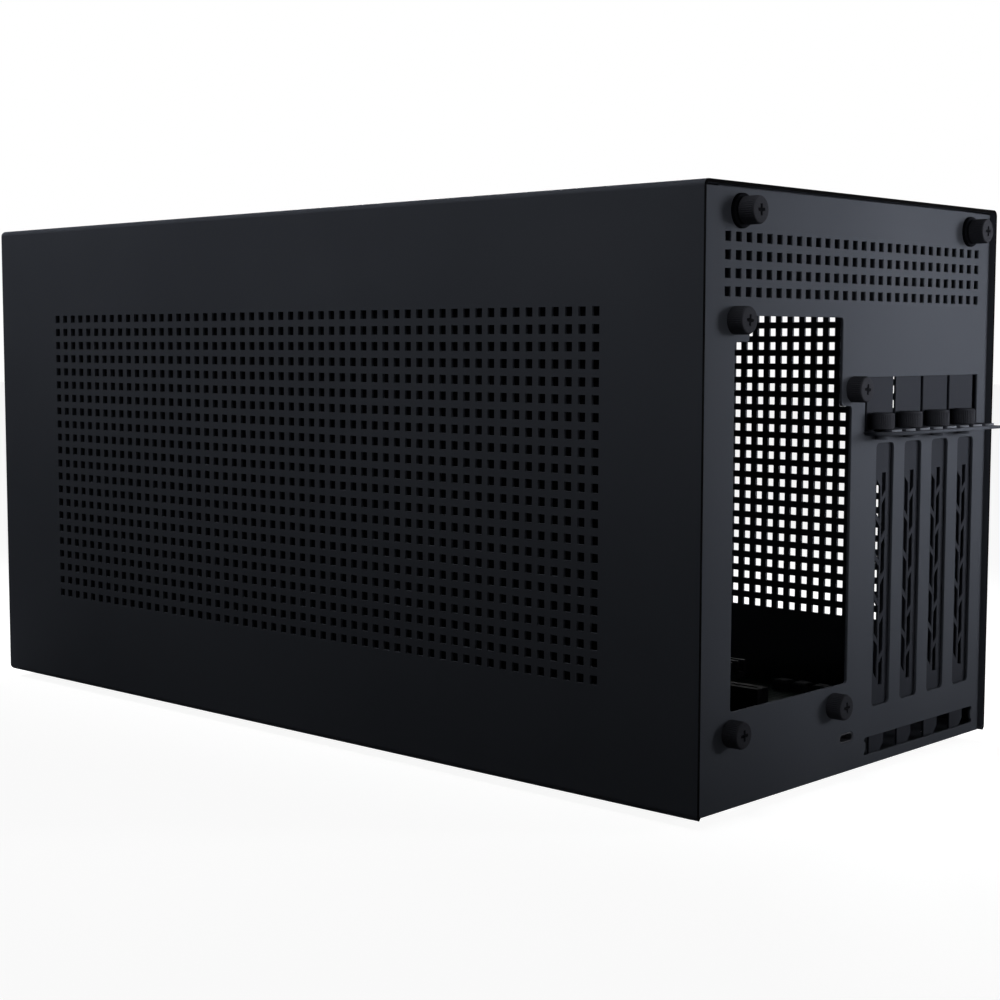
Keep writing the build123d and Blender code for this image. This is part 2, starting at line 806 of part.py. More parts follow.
# Card slot: long housing with a keyed groove and a yoke for the latch at its front end
card_x = first_slot_x + card_offset
card_rear_y = panel_inner_y - card_slot_rear
card_front_y = card_rear_y - card_slot_length
card_slot_top = board_top + card_slot_height
latch_y = card_front_y - latch_yoke / 2
latch_z = board_top + latch_pin_height
with BuildPart() as card_slot:
    with BuildSketch(level(board_top)):
        with Locations((card_x, card_rear_y)):
            Rectangle(card_slot_width, card_slot_length, align=CENTRE_DOWN)
    extrude(amount=card_slot_height)
    with BuildSketch(level(board_top)):
        with Locations((card_x, card_front_y)):
            Rectangle(card_slot_width, latch_yoke, align=CENTRE_DOWN)
            Rectangle(
                latch_width + 2 * latch_gap, latch_yoke, align=CENTRE_DOWN, mode=Mode.SUBTRACT
            )
    extrude(amount=2 * latch_pin_height)
    with BuildSketch(level(card_slot_top)):
        with Locations((card_x, card_rear_y - card_groove_end)):
            Rectangle(card_groove, card_key_from_rear - card_groove_end, align=CENTRE_DOWN)
        with Locations((card_x, card_front_y + card_groove_end)):
            Rectangle(
                card_groove,
                card_slot_length - card_key_from_rear - card_key - card_groove_end,
                align=CENTRE_UP,
            )
    extrude(amount=-card_groove_depth, mode=Mode.SUBTRACT)
    with BuildSketch(lengthways(card_x)):
        with Locations((latch_y, latch_z)):
            RegularPolygon(latch_pin + run_gap, 2 * small_sides, major_radius=False)
    extrude(amount=card_slot_width, both=True, mode=Mode.SUBTRACT)
save(card_slot, "card_slot")

# Latch: upright arm with a hook over the card's edge and a finger lever, on side pins
latch_top = latch_z + latch_height
with BuildPart() as card_latch:
    with BuildSketch(lengthways(card_x)) as lever:
        with BuildLine():
            Polyline(
                (latch_y - latch_arm, latch_z - latch_arm),
                (latch_y + latch_arm, latch_z - latch_arm),
                (latch_y + latch_arm, latch_top - 2 * latch_arm),
                (latch_y + latch_arm + latch_hook, latch_top - latch_arm),
                (latch_y + latch_arm, latch_top),
                (latch_y - latch_arm - latch_lever, latch_top),
                (latch_y - latch_arm - latch_lever, latch_top - latch_arm),
                (latch_y - latch_arm, latch_top - 2 * latch_arm),
                close=True,
            )
        make_face()
        chamfer(lever.vertices().group_by(Axis.Y)[0], latch_arm / 2)
    extrude(amount=latch_width / 2, both=True)
    with BuildSketch(lengthways(card_x)):
        with Locations((latch_y, latch_z)):
            RegularPolygon(latch_pin, 2 * small_sides)
    extrude(amount=card_slot_width / 2, both=True)
save(card_latch, "card_latch")

# Data port: drawn steel shell round a contact tongue
port_mouth_y = panel_y - port_hole_gap
port_back_y = port_mouth_y - port_length + port_wall
with BuildPart() as port_shell:
    extrude(port_outline(port_mouth_y, 0), amount=port_length)
    extrude(
        port_outline(port_mouth_y, -port_wall),
        amount=port_length - port_wall,
        mode=Mode.SUBTRACT,
    )
save(port_shell, "port_shell")

with BuildPart() as port_tongue:
    with BuildSketch(across(port_back_y)):
        with Locations((port_x, port_z)):
            Rectangle(port_tongue_width, port_tongue_sheet)
    extrude(amount=-port_tongue_length)
save(port_tongue, "port_tongue")

# Power header: block with one square cavity for each contact
header_place = (board_left_x - header_side_margin, board_front_y + header_from_front)
with BuildPart() as power_header:
    with BuildSketch(level(board_top)):
        with Locations(header_place):
            Rectangle(
                header_columns * header_pitch + 2 * header_rim,
                header_rows * header_pitch + 2 * header_rim,
            )
    extrude(amount=header_height)
    with BuildSketch(level(board_top + header_height)):
        with Locations(header_place):
            with GridLocations(header_pitch, header_pitch, header_columns, header_rows):
                Rectangle(header_cavity, header_cavity)
    extrude(amount=-header_depth, mode=Mode.SUBTRACT)
save(power_header, "power_header")

# Fan header: low open tray
with BuildPart() as fan_header:
    with BuildSketch(level(board_top)):
        with Locations(
            (board_right_x + fan_header_side_margin, board_front_y + fan_header_from_front)
        ):
            Rectangle(fan_header_length, fan_header_width)
    extrude(amount=fan_header_height)
    offset(amount=-fan_header_wall, openings=fan_header.faces().sort_by(Axis.Z)[-1])
save(fan_header, "fan_header")

# Controller chip with a finned heat sink, beside the card slot
chip_x = card_x - card_slot_width / 2 - sink_card_gap - sink_width / 2
chip_y = board_rear_y - chip_from_rear
with BuildPart() as controller_chip:
    with BuildSketch(level(board_top)):
        with Locations((chip_x, chip_y)):
            Rectangle(chip_size, chip_size)
    extrude(amount=chip_height)
save(controller_chip, "controller_chip")

fin_pitch = (sink_width - sink_fin) / (sink_fins - 1)
with BuildPart() as heat_sink:
    with BuildSketch(across(chip_y + sink_length / 2)):
        with Locations((chip_x, board_top + chip_height)):
            Rectangle(sink_width, sink_base, align=CENTRE_UP)
            with GridLocations(fin_pitch, fin_pitch, sink_fins, 1):
                Rectangle(sink_fin, sink_height, align=CENTRE_UP)
    extrude(amount=sink_length)
save(heat_sink, "heat_sink")

# Inductors in a row behind the slot covers
with BuildPart() as inductors:
    with BuildSketch(level(board_top)):
        with Locations((board_right_x + coil_side_margin, board_rear_y - coil_from_rear)):
            with GridLocations(coil_pitch, coil_pitch, 1, coil_count):
                Rectangle(coil_size, coil_size)
    extrude(amount=coil_height)
    chamfer(inductors.edges().group_by(Axis.Z)[-1], coil_chamfer)
save(inductors, "inductors")

# Rail that carries the power supply: foot on the base, riser and top leaf
rail_top = psu_bottom - rail_gap
with BuildPart() as psu_rail:
    with BuildSketch(lengthways(rail_right_x)):
        with BuildLine():
            Polyline(
                (rail_y + rail_sheet + rail_leaf, floor_top),
                (rail_y, floor_top),
                (rail_y, rail_top - rail_sheet),
                (rail_y - rail_leaf, rail_top - rail_sheet),
                (rail_y - rail_leaf, rail_top),
                (rail_y + rail_sheet, rail_top),
                (rail_y + rail_sheet, floor_top + rail_sheet),
                (rail_y + rail_sheet + rail_leaf, floor_top + rail_sheet),
                close=True,
            )
        make_face()
    extrude(amount=rail_left_x - rail_right_x)
    with BuildSketch(level(floor_top)):
        with Locations(*rail_screw_places):
            RegularPolygon(small_hole, small_sides)
    extrude(amount=rail_sheet, mode=Mode.SUBTRACT)
save(psu_rail, "psu_rail")

# Fan bracket: upright plate with the fan's bore, on a foot folded to the front
with BuildPart() as fan_bracket:
    with BuildSketch(across(fan_y)):
        with Locations((0, floor_top)):
            Rectangle(2 * bracket_half, case_mid_z + bracket_half - floor_top, align=CENTRE_UP)
        with Locations((0, case_mid_z)):
            RegularPolygon(fan_bracket_bore, fan_sides, mode=Mode.SUBTRACT)
        with Locations(*fan_screw_places):
            RegularPolygon(small_hole, small_sides, mode=Mode.SUBTRACT)
    extrude(amount=fan_bracket_sheet)
    with BuildSketch(level(floor_top)):
        with Locations((0, fan_bracket_y)):
            Rectangle(2 * bracket_half, fan_bracket_foot, align=CENTRE_DOWN)
        with Locations(*bracket_screw_places):
            RegularPolygon(small_hole, small_sides, mode=Mode.SUBTRACT)
    extrude(amount=fan_bracket_sheet)
    fillet(
        fan_bracket.edges().filter_by(Axis.X).group_by(Axis.Z)[0].sort_by(Axis.Y)[-1],
        fan_bracket_bend,
    )
save(fan_bracket, "fan_bracket")

# Fan frame: duct between two square flanges, with the motor seat on struts
with BuildPart() as fan_frame:
    for start in (0, fan_depth - fan_flange):
        with BuildSketch(fan_plane.offset(start)) as flange:
            Rectangle(fan_size, fan_size)
            chamfer(flange.vertices(), fan_corner)
            RegularPolygon(fan_bore_radius, fan_sides, major_radius=False, mode=Mode.SUBTRACT)
            with GridLocations(fan_hole_pitch, fan_hole_pitch, 2, 2):
                RegularPolygon(fan_hole_radius, small_sides, mode=Mode.SUBTRACT)
        extrude(amount=fan_flange)
    with BuildSketch(fan_plane):
        RegularPolygon(fan_bore_radius + fan_wall, fan_sides, major_radius=False)
        RegularPolygon(fan_bore_radius, fan_sides, major_radius=False, mode=Mode.SUBTRACT)
    extrude(amount=fan_depth)
    with BuildSketch(fan_plane.offset(fan_depth - motor_sheet)):
        RegularPolygon(motor_radius, fan_sides)
        with PolarLocations(0, strut_count, start_angle=180 / strut_count):
            Rectangle(fan_bore_radius + fan_wall / 2, strut_width, align=(Align.MIN, Align.CENTER))
    extrude(amount=motor_sheet)
    with BuildSketch(fan_plane.offset(fan_depth)):
        RegularPolygon(bearing_radius, 2 * small_sides)
    extrude(amount=-motor_sheet - bearing_height)
    with BuildSketch(fan_plane.offset(fan_depth)):
        Circle(shaft_radius + run_gap)
    extrude(amount=-motor_sheet - bearing_height, mode=Mode.SUBTRACT)
save(fan_frame, "fan_frame")

# Fan rotor on the Z axis: cup-shaped hub on its shaft, with cambered blades
shaft_length = fan_depth - hub_front - motor_sheet / 2
blade_root = hub_radius - blade_root_inset
blade_tip = fan_bore_radius - blade_tip_gap
blade_half = blade_chord / 2
blade_shares = [2 * step / blade_flats - 1 for step in range(blade_flats + 1)]
blade_back = [(blade_half * share, blade_camber * (1 - share**2)) for share in blade_shares]
blade_front = [(x, y - blade_sheet) for x, y in blade_back]
blade_plane = Plane(
    origin=(blade_root, 0, hub_front + hub_height / 2),
    x_dir=Vector(0, 1, 0).rotate(Axis.X, blade_angle),
    z_dir=(1, 0, 0),
)
with BuildPart() as rotor_form:
    with BuildSketch(level(hub_front)):
        RegularPolygon(hub_radius, fan_sides)
    extrude(amount=hub_height)
    chamfer(rotor_form.edges().group_by(Axis.Z)[0], hub_chamfer)
    with BuildSketch(blade_plane):
        with BuildLine():
            Polyline(*blade_back, *reversed(blade_front), close=True)
        make_face()
    blade = extrude(amount=blade_tip - blade_root, mode=Mode.PRIVATE)
    with PolarLocations(0, blade_count):
        add(blade)
    with BuildSketch(level(hub_front + hub_wall)):
        RegularPolygon(hub_radius - hub_wall, fan_sides)
    extrude(amount=hub_height, mode=Mode.SUBTRACT)
    with BuildSketch(level(hub_front)):
        Circle(shaft_radius)
    extrude(amount=shaft_length)

with BuildPart() as fan_rotor:
    with Locations(fan_plane):
        add(rotor_form.part)
save(fan_rotor, "fan_rotor")

# Screws from the bracket into the fan frame
fan_screw = small_screw(fan_bracket_sheet + fan_flange)
with BuildPart() as fan_screws:
    with Locations(*[facing_front(x, z, fan_bracket_y) for x, z in fan_screw_places]):
        add(fan_screw)
save(fan_screws, "fan_screws")
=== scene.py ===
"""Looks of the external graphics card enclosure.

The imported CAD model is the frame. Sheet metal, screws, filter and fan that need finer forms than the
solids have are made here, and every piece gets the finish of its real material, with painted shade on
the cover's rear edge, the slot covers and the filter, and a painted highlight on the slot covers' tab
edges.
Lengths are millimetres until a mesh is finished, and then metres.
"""

import json
import math

import bmesh
import bpy
from mathutils import Euler, Matrix, Vector


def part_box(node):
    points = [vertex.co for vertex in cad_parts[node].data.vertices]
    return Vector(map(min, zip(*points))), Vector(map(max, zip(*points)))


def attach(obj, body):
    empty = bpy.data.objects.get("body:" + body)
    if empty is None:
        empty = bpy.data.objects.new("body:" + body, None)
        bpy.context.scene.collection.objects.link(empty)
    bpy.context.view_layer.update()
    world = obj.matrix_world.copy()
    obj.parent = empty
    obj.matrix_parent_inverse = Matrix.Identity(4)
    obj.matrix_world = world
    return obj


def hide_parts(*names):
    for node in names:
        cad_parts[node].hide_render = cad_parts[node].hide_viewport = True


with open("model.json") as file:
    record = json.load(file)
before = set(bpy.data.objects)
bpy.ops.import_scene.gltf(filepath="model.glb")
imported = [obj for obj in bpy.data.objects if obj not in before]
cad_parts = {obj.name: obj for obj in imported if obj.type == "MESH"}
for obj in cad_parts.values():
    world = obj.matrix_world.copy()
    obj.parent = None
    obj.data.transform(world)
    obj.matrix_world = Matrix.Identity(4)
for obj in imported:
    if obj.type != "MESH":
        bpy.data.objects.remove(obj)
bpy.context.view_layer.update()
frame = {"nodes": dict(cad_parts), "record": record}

MM = 0.001
merge_reach = 0.001

# Cover sheet and its perforation
sheet = 1.2
bend_radius = 2.4
front_bend_radius = 1.2
bend_steps = 6
lip_width = 7.0
rear_cut = 3.5
# Faces this near the rear edge, and facing the rear at least this much, get a painted edge colour
painted_edge_reach = 0.15
painted_edge_facing = 0.5
pitch = 6.0
hole = 3.25
side_columns = 54
side_rows = 22
side_field_shift = 1.0
intake_count = 20

# Rear panel
panel_recess = 2.0
panel_sheet = 1.2
panel_edge = 0.18
flange_depth = 14.0
flange_inset = 8.5
vent_columns = 29
vent_rows = 4
vent_top_gap = 15.975
vent_shift = -2.1
psu_hole_inset = 6.0
psu_low_hole_shift = 10.0
psu_high_hole_drop = 24.0
opening_side = 6.4
opening_bottom = 12.9
opening_top = 4.4
opening_corner = 1.4
near_ear_width = 8.4
near_ear_height = 8.7
far_ear_width = 6.7
far_ear_height = 31.6
slot_width = 12.4
slot_corner = 1.8
slot_shelf_gap = 4.5
slot_bottom_z = 22.0
shelf_top_z = 124.7
shelf_relief = 0.8
boss_radius = 2.6
boss_height = 1.6
window_height = 19.9
window_near_gap = 3.55
window_far_gap = 1.25
tongue_slot_near_gap = 4.75
tongue_slot_far_gap = 4.5
tongue_slot_bottom_z = 4.1
tongue_slot_top_z = 10.8
tongue_slot_relief = 0.9
port_hole_gap = 0.2
port_wall = 0.3
port_edge = 0.08

# Slot covers
blank_sheet = 0.9
blank_edge = 0.14
blank_seat = 0.3
blank_offset = 2.0
blank_corner = 1.0
blank_shoulder_z = 16.0
tongue_width = 10.2
tongue_taper = 3.6
tongue_chamfer = 3.2
tab_reach = 8.8
tab_notch_radius = 2.4
tab_notch_mouth = 4.0
edge_notch_width = 3.0
edge_notch_depth = 2.0
branch_rib = 1.2
branch_column = 2.65
branch_pitch = 15.0
branch_bar = 2.4
branch_rise = 2.8
branch_left_drop = 12.6
branch_right_drop = 4.4
branch_low_margin = 7.0
branch_high_margin = 11.2

# Thumbscrews and collars. A rounded edge is given by points: inset from the side, distance from the
# end and, where it is knurled, share of the knurl's depth.
thumb_radius = 4.7
thumb_head = 6.2
thumb_foot = ((0.5, 0), (0.12, 0.2), (0, 0.5, 1))
thumb_rim = ((0, 1.0, 1), (0.14, 0.55, 0.5), (0.45, 0.2), (0.95, 0))
slot_thumb_radius = 4.45
slot_thumb_head = 6.1
slot_thumb_side = 8.25
slot_thumb_out = 3.3
knurl_count = 40
knurl_depth = 0.16
shank_radius = 1.75
shank_hole_gap = 0.25
thread_pitch = 0.8
thread_depth = 0.35
thread_root_end = 0.08
cross_reach = 2.3
cross_width = 1.15
cross_depth = 1.8
cross_low_reach = 0.92
cross_low_width = 0.92
cross_cutter_over = 0.5
screw_turn = 0.12
screw_turn_seed = 4
collar_gap = 0.05
collar_rim = ((0, 0.6), (0.18, 0.2), (0.6, 0))

# Small screws inside, with a recess at a share of a thumbscrew's
screw_radius = 1.4
screw_head_radius = 2.8
screw_head = 2.0
screw_head_edge = 0.35
screw_pitch = 0.5
screw_thread_depth = 0.15
screw_recess = 0.6

# Filter: the weave is drawn coarser than the real one, so that it shows
filter_rim_height = 2.0
filter_rim_width = 3.0
filter_rim_edge = 0.3
filter_sheet = 0.5
weave_pitch = 1.5
weave_depth = 0.1
weave_sheet = 0.2

# Rubber feet
foot_dish = 0.6
foot_draft = 0.2
foot_edge = ((3.2, 0.5), (2.6, 0), (1.1, 0), (0.45, 0.25), (0.1, 0.8), (0, 1.5))

# Fan
fan_size = 120.0
fan_depth = 25.0
fan_corner = 4.0
fan_flange = 4.0
fan_edge = 0.3
fan_bore_radius = 57.8
fan_wall = 1.6
fan_hole_pitch = 105.0
fan_hole_radius = 2.2
fan_steps = 96
hub_radius = 21.0
hub_height = 18.0
hub_wall = 2.0
hub_front = 2.0
hub_rim = ((1.5, 0), (0.6, 0.3), (0.15, 0.9), (0, 1.5))
motor_radius = 20.5
motor_sheet = 3.5
bearing_radius = 5.0
bearing_height = 12.0
shaft_radius = 1.5
bearing_gap = 0.05
strut_width = 4.5
strut_lap = 1.0
strut_count = 4
blade_count = 9
blade_sheet = 1.4
blade_edge_thinning = 0.7
blade_chord = 24.0
blade_camber = 2.6
blade_angle = 36.0
blade_twist = 5.0
blade_tip_gap = 2.4
blade_tip_start = 0.7
blade_tip_taper = 0.12
blade_spans = 10
blade_steps = 12

# Part of a pattern's range over which a mottled shade goes from dark to light
mottle_span = (0.3, 0.7)

# Camera of the photograph, in metres and degrees
camera_place = (0.5692, 0.5420, 0.1598)
camera_turn = (85.0497, -0.0240, 133.4249)
camera_lens = 64.594
camera_shift = (0.0327, -0.0012)
camera_near = 0.01

# Studio, in metres, with the strength of the floor's glow and of the light from all round
floor_half = 6
floor_glow = 0.92
ambient = 0.004
soft_box = (0.25, 0.25)
short_strip = (0.4, 0.1)
long_strip = (0.7, 0.1)

# Turns that bring a turned form, and a screw with its head up, to their seats
z_to_rear = Matrix.Rotation(-math.pi / 2, 4, "X")
upright = Euler((0, 0, 0))
upside_down = Euler((math.pi, 0, 0))
to_rear = Euler((-math.pi / 2, 0, 0))
to_front = Euler((math.pi / 2, 0, 0))


def box_mm(name):
    """Lowest and highest corner of a CAD node, in millimetres."""
    low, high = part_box(name)
    return low / MM, high / MM


def captive_place(side):
    """Middle of the underside of a captive screw's head."""
    low, high = box_mm(f"cover_screw_{side}")
    return ((low.x + high.x) / 2, high.y - thumb_head, (low.z + high.z) / 2)


# Places read from the frame
cover_low, cover_high = box_mm("outer_cover")
half_width = cover_high.x
case_bottom = cover_low.z
case_top = cover_high.z
case_mid_z = (case_bottom + case_top) / 2
front_y = cover_low.y
rear_y = cover_high.y
side_field_y = (front_y + rear_y) / 2 + side_field_shift
panel_y = rear_y - panel_recess
panel_inner_y = panel_y - panel_sheet
panel_low, panel_high = box_mm("rear_panel")
slot_covers = sorted(name for name in frame["nodes"] if name.startswith("slot_cover_"))
slot_boxes = [box_mm(name) for name in slot_covers]
slot_xs = [(low.x + high.x) / 2 - blank_offset for low, high in slot_boxes]
blank_low, blank_high = slot_boxes[0]
blank_width = blank_high.x - blank_low.x
blank_mid_y = blank_low.y + blank_sheet / 2 + blank_seat
tab_rear = panel_y + tab_reach
shelf_top = case_bottom + shelf_top_z
slot_top = shelf_top - slot_shelf_gap
slot_bottom = case_bottom + slot_bottom_z
psu_screw_low, psu_screw_high = box_mm("psu_screws")
psu_near_x = psu_screw_high.x - thumb_radius
psu_inner_x = psu_screw_low.x + thumb_radius
psu_low_z = psu_screw_low.z + thumb_radius
psu_high_z = psu_screw_high.z - thumb_radius
psu_places = [
    (psu_near_x, panel_y, psu_low_z),
    (psu_near_x, panel_y, psu_high_z),
    (psu_inner_x + psu_low_hole_shift, panel_y, psu_low_z),
    (psu_inner_x, panel_y, psu_high_z - psu_high_hole_drop),
]
slot_thumb_y = panel_y + slot_thumb_out
slot_thumb_places = [(x + slot_thumb_side, slot_thumb_y, shelf_top + blank_sheet) for x in slot_xs]
captive_places = {side: captive_place(side) for side in ("left", "right")}


def wire(tree, target, inputs):
    """Sets a node's inputs to values, or links them to sockets or to the first output of nodes."""
    for name, value in inputs.items():
        if isinstance(value, bpy.types.Node):
            value = value.outputs[0]
        if isinstance(value, bpy.types.NodeSocket):
            tree.links.new(value, target.inputs[name])
        else:
            target.inputs[name].default_value = value


def node(tree, kind, inputs=None, **settings):
    """Adds one node with its settings and inputs."""
    made = tree.nodes.new(kind)
    for name, value in settings.items():
        setattr(made, name, value)
    wire(tree, made, inputs or {})
    return made


def linear(hex_colour):
    """Linear colour of an sRGB hex value."""
    channels = [int(hex_colour[at:at + 2], 16) / 255 for at in (1, 3, 5)]
    return [c / 12.92 if c <= 0.04045 else ((c + 0.055) / 1.055) ** 2.4 for c in channels] + [1]


def per_mm(size):
    """Scale of a texture on Object coordinates whose pattern is that many millimetres wide."""
    return 1 / (size * MM)


def surface(name, specular=0.5, metallic=0.0):
    """New material, with its tree, its shader and Object coordinates."""
    material = bpy.data.materials.new(name)
    material.use_nodes = True
    tree = material.node_tree
    shader = tree.nodes["Principled BSDF"]
    wire(tree, shader, {"Specular IOR Level": specular, "Metallic": metallic})
    return material, tree, shader, node(tree, "ShaderNodeTexCoord").outputs["Object"]


def mottle(tree, pattern, shades):
    """Colour that varies a little between two shades."""
    ramp = node(tree, "ShaderNodeValToRGB", {"Fac": pattern})
    for element, position, shade in zip(ramp.color_ramp.elements, mottle_span, shades):
        element.position = position
        element.color = linear(shade)
    return ramp


def dress(tree, shader, colour, pattern, dullness, depth=0.0):
    """Gives a shader its colour, and roughness and bump that follow a pattern. Depth is in millimetres."""
    low, high = dullness
    roughness = node(tree, "ShaderNodeMapRange", {"Value": pattern, "To Min": low, "To Max": high})
    wire(tree, shader, {"Base Color": colour, "Roughness": roughness})
    if depth:
        bump = node(tree, "ShaderNodeBump", {"Height": pattern, "Distance": depth * MM})
        wire(tree, shader, {"Normal": bump})


def grained(name, shades, grain, detail, dullness, depth=0.0, **shine):
    """Material whose shade, roughness and relief follow one noise. Grain and depth are in millimetres."""
    material, tree, shader, where = surface(name, **shine)
    noise = node(tree, "ShaderNodeTexNoise", {"Vector": where, "Scale": per_mm(grain), "Detail": detail})
    dress(tree, shader, mottle(tree, noise, shades), noise, dullness, depth)
    return material


def painted_edge_mask(tree, where, painted_edge_y):
    """Mask for a painted edge colour: 1 on faces that lie at the given Y and face the rear, otherwise 0.
    """
    along = node(tree, "ShaderNodeSeparateXYZ", {"Vector": where}).outputs["Y"]
    facing = node(tree, "ShaderNodeNewGeometry").outputs["Normal"]
    facing = node(tree, "ShaderNodeSeparateXYZ", {"Vector": facing}).outputs["Y"]
    reach = {0: along, 1: painted_edge_y * MM, 2: painted_edge_reach * MM}
    at_end = node(tree, "ShaderNodeMath", reach, operation="COMPARE")
    limit = {0: facing, 1: painted_edge_facing}
    rearward = node(tree, "ShaderNodeMath", limit, operation="GREATER_THAN")
    return node(tree, "ShaderNodeMath", {0: at_end, 1: rearward}, operation="MULTIPLY")


def powder_coat(name, shades, painted_edge_y, painted_edge_shade):
    """Baked black polyester powder on steel sheet: an even matt skin with a fine orange-peel grain.

    Faces at the rear edge of the sheet get a colour of their own: painted shade on the cover's rear edge,
    a painted highlight on the slot covers' tab edges.
    """
    material, tree, shader, where = surface(name, specular=0.002)
    fine = {"Vector": where, "Scale": per_mm(0.9), "Detail": 3.0, "Roughness": 0.6}
    grain = node(tree, "ShaderNodeTexNoise", fine)
    cloud = node(tree, "ShaderNodeTexNoise", {"Vector": where, "Scale": per_mm(70), "Detail": 2.0})
    coat = mottle(tree, cloud, shades)
    colours = {"Factor": painted_edge_mask(tree, where, painted_edge_y), 6: coat, 7: linear(painted_edge_shade)}
    coat_with_painted_edge = node(tree, "ShaderNodeMix", colours, data_type="RGBA").outputs[2]
    dress(tree, shader, coat_with_painted_edge, grain, dullness=(0.5, 0.66), depth=0.02)
    return material


def black_plating(name, shades):
    """Turned steel with a black plating: dark and dull, with faint turning lines."""
    texture = {"grain": 0.5, "detail": 2.0, "dullness": (0.45, 0.6), "depth": 0.012}
    return grained(name, shades, **texture, specular=0.001)


def black_nickel():
    """Drawn steel under black nickel: a dark satin metal, faintly streaked along the draw."""
    shades = ("#34353a", "#43444a")
    texture = {"grain": 0.6, "detail": 2.0, "dullness": (0.4, 0.55)}
    return grained("black nickel plate", shades, **texture, metallic=0.7, specular=0.1)


def zinc_plate():
    """Bright zinc plate on pressed steel: silver with a cloudy spangle."""
    material, tree, shader, where = surface("bright zinc plate", metallic=1.0)
    spangle = node(tree, "ShaderNodeTexVoronoi", {"Vector": where, "Scale": per_mm(1.6)})
    silver = mottle(tree, spangle, ("#b3b6ba", "#c9cbcd"))
    dress(tree, shader, silver, spangle, dullness=(0.28, 0.42))
    return material


def painted_shade_mesh():
    """Woven nylon thread, nearly black and dull, as painted shade for the inside of the case seen through
    the side holes.
    """
    shades = ("#08080a", "#0f0f12")
    texture = {"grain": 1.2, "detail": 2.0, "dullness": (0.6, 0.8)}
    return grained("black nylon mesh", shades, **texture, specular=0.002)


def foot_rubber():
    """Moulded black rubber: matt, slightly dusty, with a fine grain."""
    shades = ("#141414", "#1f1f20")
    texture = {"grain": 2.0, "detail": 4.0, "dullness": (0.75, 0.9), "depth": 0.05}
    return grained("moulded rubber", shades, **texture, specular=0.25)


def solder_mask():
    """Glass-fibre board under dark solder mask: a dull lacquer over raised copper runs."""
    material, tree, shader, where = surface("dark solder mask", specular=0.01)
    bricks = {"Vector": where, "Scale": per_mm(12.0), "Mortar Size": 0.03}
    tones = {"Color1": (1, 1, 1, 1), "Color2": (0.7, 0.7, 0.7, 1), "Mortar": (0, 0, 0, 1)}
    runs = node(tree, "ShaderNodeTexBrick", {**bricks, **tones})
    lacquer = mottle(tree, runs, ("#0a110f", "#0e1d18"))
    dress(tree, shader, lacquer, runs, dullness=(0.3, 0.42), depth=0.05)
    return material


def moulded_plastic():
    """Injection-moulded black plastic: even, with the fine spark-eroded grain of its mould."""
    shades = ("#19191b", "#232326")
    texture = {"grain": 0.8, "detail": 3.0, "dullness": (0.42, 0.58), "depth": 0.02}
    return grained("black moulded plastic", shades, **texture, specular=0.006)


def anodised_aluminium():
    """Extruded aluminium, anodised dark: a satin metal with die lines along the fins."""
    material, tree, shader, where = surface("dark anodised aluminium", metallic=0.8)
    drawn = node(tree, "ShaderNodeMapping", {"Vector": where, "Scale": (1.0, 0.03, 1.0)})
    lines = node(tree, "ShaderNodeTexNoise", {"Vector": drawn, "Scale": per_mm(0.7), "Detail": 2.0})
    satin = mottle(tree, lines, ("#34353a", "#45464c"))
    dress(tree, shader, satin, lines, dullness=(0.35, 0.5))
    return material


def turned_brass():
    """Hexagon brass bar: yellow metal, a little tarnished."""
    shades = ("#a98744", "#c9a75c")
    texture = {"grain": 2.5, "detail": 3.0, "dullness": (0.25, 0.4)}
    return grained("drawn brass", shades, **texture, metallic=1.0)


def pressed_ferrite():
    """Pressed ferrite powder: dark grey and granular."""
    shades = ("#3f4043", "#55565a")
    texture = {"grain": 0.6, "detail": 4.0, "dullness": (0.6, 0.8), "depth": 0.04}
    return grained("pressed ferrite", shades, **texture, specular=0.03)


finishes = {
    # The cover's rear edge is coloured near black as painted shade
    "powder_coat": powder_coat("black powder coat", ("#42454c", "#464950"), rear_y, "#060607"),
    "black_screw": black_plating("black zinc plate", ("#2e2f34", "#34353a")),
    "zinc_steel": zinc_plate(),
    "filter_mesh": painted_shade_mesh(),
    "rubber": foot_rubber(),
    "solder_mask": solder_mask(),
    "black_plastic": moulded_plastic(),
    "anodised": anodised_aluminium(),
    "brass": turned_brass(),
    "ferrite": pressed_ferrite(),
}
# Slot covers: darker shades as painted shade of their recess behind the panel, and a lighter tab rear edge
# as a painted highlight
shaded_slot_cover_coat = powder_coat("dull black powder coat", ("#2e3036", "#32343a"), tab_rear, "#5c5f66")
collar_plate = black_plating("black oxide", ("#0d0e12", "#15161a"))
port_plate = black_nickel()

for subpart in frame["record"]["subparts"]:
    solid = frame["nodes"][subpart["node"]].data
    solid.materials.clear()
    solid.materials.append(finishes[subpart["material_slot"]])


def shown(data):
    """New object in the scene that holds a mesh, curve, lamp or camera."""
    holder = bpy.data.objects.new(data.name, data)
    bpy.context.collection.objects.link(holder)
    return holder


def carried_out(holder):
    """Plain mesh of an object with its modifiers carried out. The object goes."""
    bpy.context.view_layer.update()
    graph = bpy.context.evaluated_depsgraph_get()
    mesh = bpy.data.meshes.new_from_object(
        holder.evaluated_get(graph), preserve_all_data_layers=True, depsgraph=graph
    )
    mesh.name = holder.name
    bpy.data.objects.remove(holder)
    return mesh


def mesh_from(name, form):
    """Mesh from a bmesh."""
    mesh = bpy.data.meshes.new(name)
    form.to_mesh(mesh)
    form.free()
    return mesh


def solid_from(name, form):
    """Mesh from a closed bmesh, with its faces turned outwards."""
    bmesh.ops.recalc_face_normals(form, faces=form.faces)
    return mesh_from(name, form)


